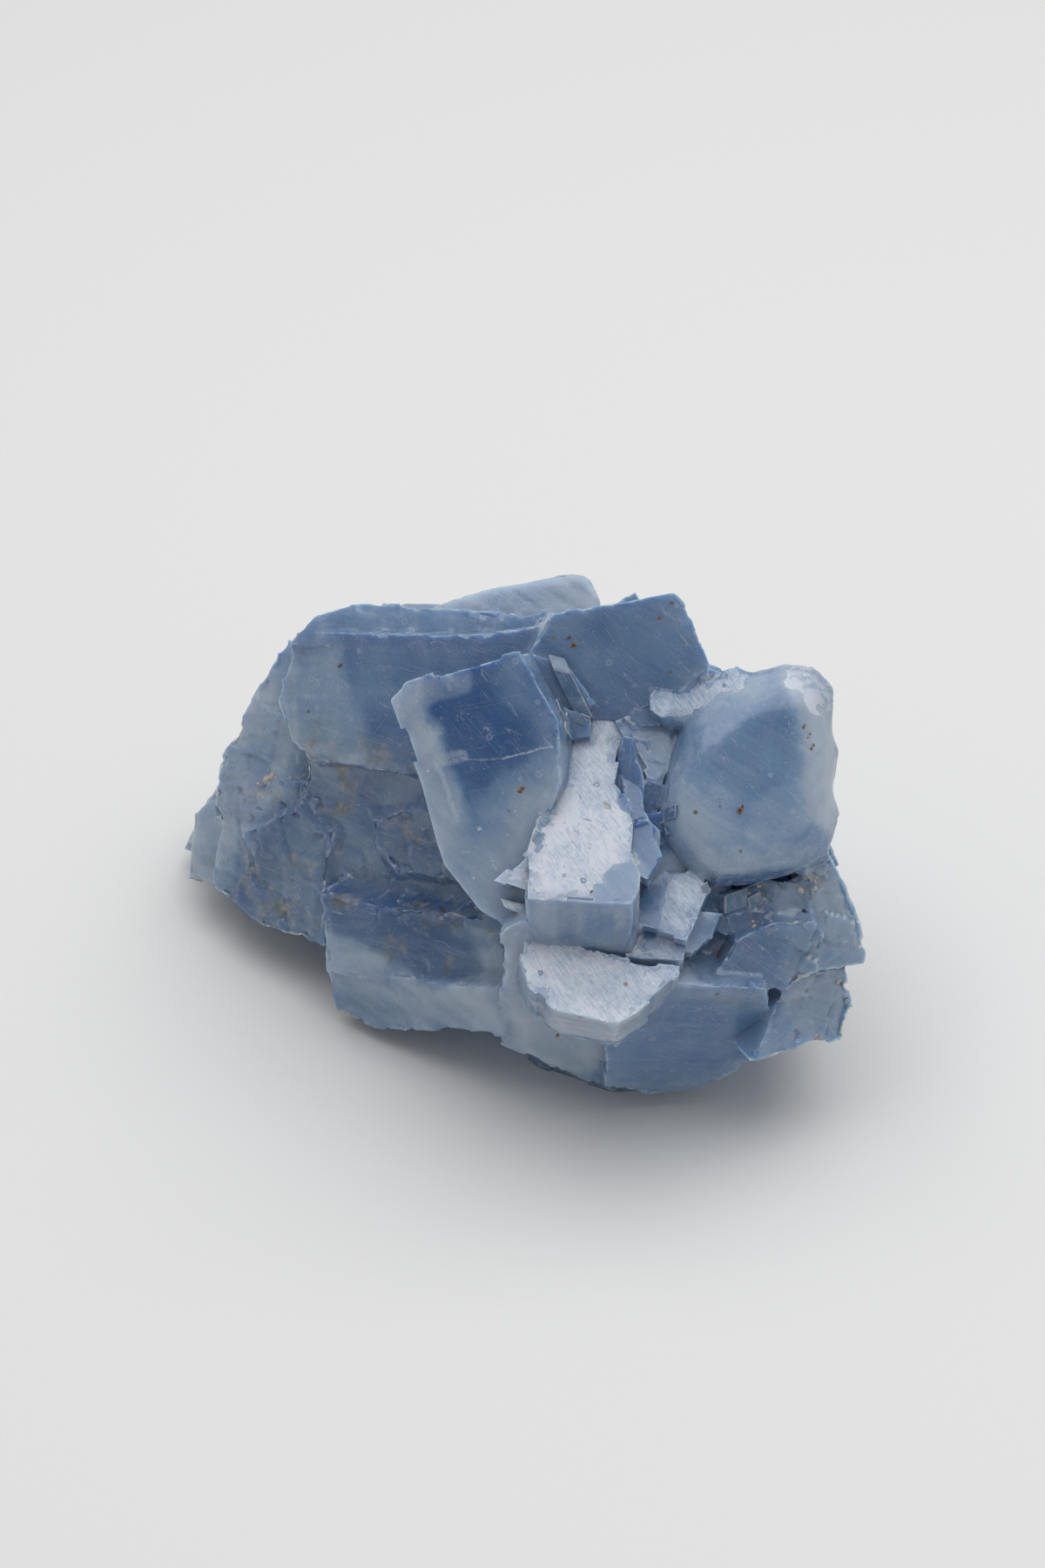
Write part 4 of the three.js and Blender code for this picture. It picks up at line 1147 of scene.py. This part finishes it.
class CALCITE_OT_crumbs(bpy.types.Operator):
    """Press the cream and pink rock crumbs into the hollows"""
    bl_idname = "calcite.crumbs"
    bl_label = "Rock crumbs"

    def execute(self, context):
        tree = surface_tree()
        seed = crumb_seed()
        crumbs = []
        for patch, (middle, spread, count) in enumerate(CRUMBS):
            for number in range(count):
                chance = chances(number, 700 + patch * 11, 6)
                place = np.array(middle) + (np.array(chance[0:3]) - 0.5) * 2 * spread
                spot, outward = snapped(tree, place)
                size = MM * (0.25 + 0.6 * chance[3] ** 2)
                sizes = (size * (1 + 0.6 * chance[4]), size, size * 0.5)
                crumbs.append(copied(seed, spot - outward * size * 0.12, outward, chance[5] * 6.2, sizes))
        bpy.data.objects.remove(seed)
        joined(crumbs, "rock_crumbs", crumb_material(scene_colours(context.scene)))
        return {"FINISHED"}


class CALCITE_OT_stage(bpy.types.Operator):
    """Lay the pale floor and set the soft light and the camera"""
    bl_idname = "calcite.stage"
    bl_label = "Studio"

    def execute(self, context):
        scene = context.scene
        studio = scene.calcite_studio
        deselect()
        bpy.ops.mesh.primitive_plane_add(size=studio.floor_size, location=(0, 0, 0))
        floor = context.active_object
        floor.name = "paper_floor"
        floor.data.materials.append(floor_material(tuple(studio.floor_colour)))

        light = bpy.data.lights.new("overhead_softbox", "AREA")
        light.shape, light.size = "SQUARE", studio.softbox
        light.energy = SOFTBOX_RADIANCE * math.pi * studio.softbox ** 2
        lamp = bpy.data.objects.new("overhead_softbox", light)
        lamp.location = studio.softbox_place
        context.collection.objects.link(lamp)

        world = bpy.data.worlds.new("pale_room")
        world.use_nodes = True
        world.node_tree.nodes["Background"].inputs[0].default_value = (1, 1, 1, 1)
        world.node_tree.nodes["Background"].inputs[1].default_value = ROOM_LIGHT
        scene.world = world

        camera = bpy.data.cameras.new("camera")
        camera.lens = camera.sensor_width * studio.distance / studio.view_height
        viewer = bpy.data.objects.new("camera", camera)
        away = Vector((0, -math.cos(studio.elevation), math.sin(studio.elevation)))
        viewer.location = Vector(studio.target) + away * studio.distance
        viewer.rotation_euler = (math.pi / 2 - studio.elevation, 0, 0)
        context.collection.objects.link(viewer)
        scene.camera = viewer
        scene.view_settings.view_transform = "Standard"
        # As many bounces as the cloudy body shows.
        scene.cycles.max_bounces = 8
        scene.cycles.diffuse_bounces = 3
        scene.cycles.transmission_bounces = 6
        return {"FINISHED"}


class CALCITE_PT_panel(bpy.types.Panel):
    """The steps of the piece, in order"""
    bl_idname = "CALCITE_PT_panel"
    bl_label = "Calcite"
    bl_space_type = "VIEW_3D"
    bl_region_type = "UI"
    bl_category = "Calcite"

    def draw(self, context):
        for operator in STEPS:
            self.layout.operator(operator.bl_idname)
        for name in GROUPS:
            group = getattr(context.scene, name)
            for key in group.__annotations__:
                self.layout.prop(group, key)


GROUPS = {"calcite_sizes": CalciteSizes, "calcite_colours": CalciteColours, "calcite_studio": StudioSizes}
STEPS = (CALCITE_OT_cluster, CALCITE_OT_clear_rhombs, CALCITE_OT_grains, CALCITE_OT_crumbs,
         CALCITE_OT_stage)


def register():
    for name, group in GROUPS.items():
        bpy.utils.register_class(group)
        setattr(bpy.types.Scene, name, PointerProperty(type=group))
    for item in STEPS + (CALCITE_PT_panel,):
        bpy.utils.register_class(item)


def unregister():
    for item in reversed(STEPS + (CALCITE_PT_panel,)):
        bpy.utils.unregister_class(item)
    for name, group in reversed(GROUPS.items()):
        delattr(bpy.types.Scene, name)
        bpy.utils.unregister_class(group)


def main():
    register()
    bpy.ops.calcite.cluster()
    bpy.ops.calcite.clear_rhombs()
    bpy.ops.calcite.grains()
    bpy.ops.calcite.crumbs()
    bpy.ops.calcite.stage()


if __name__ == "__main__":
    main()
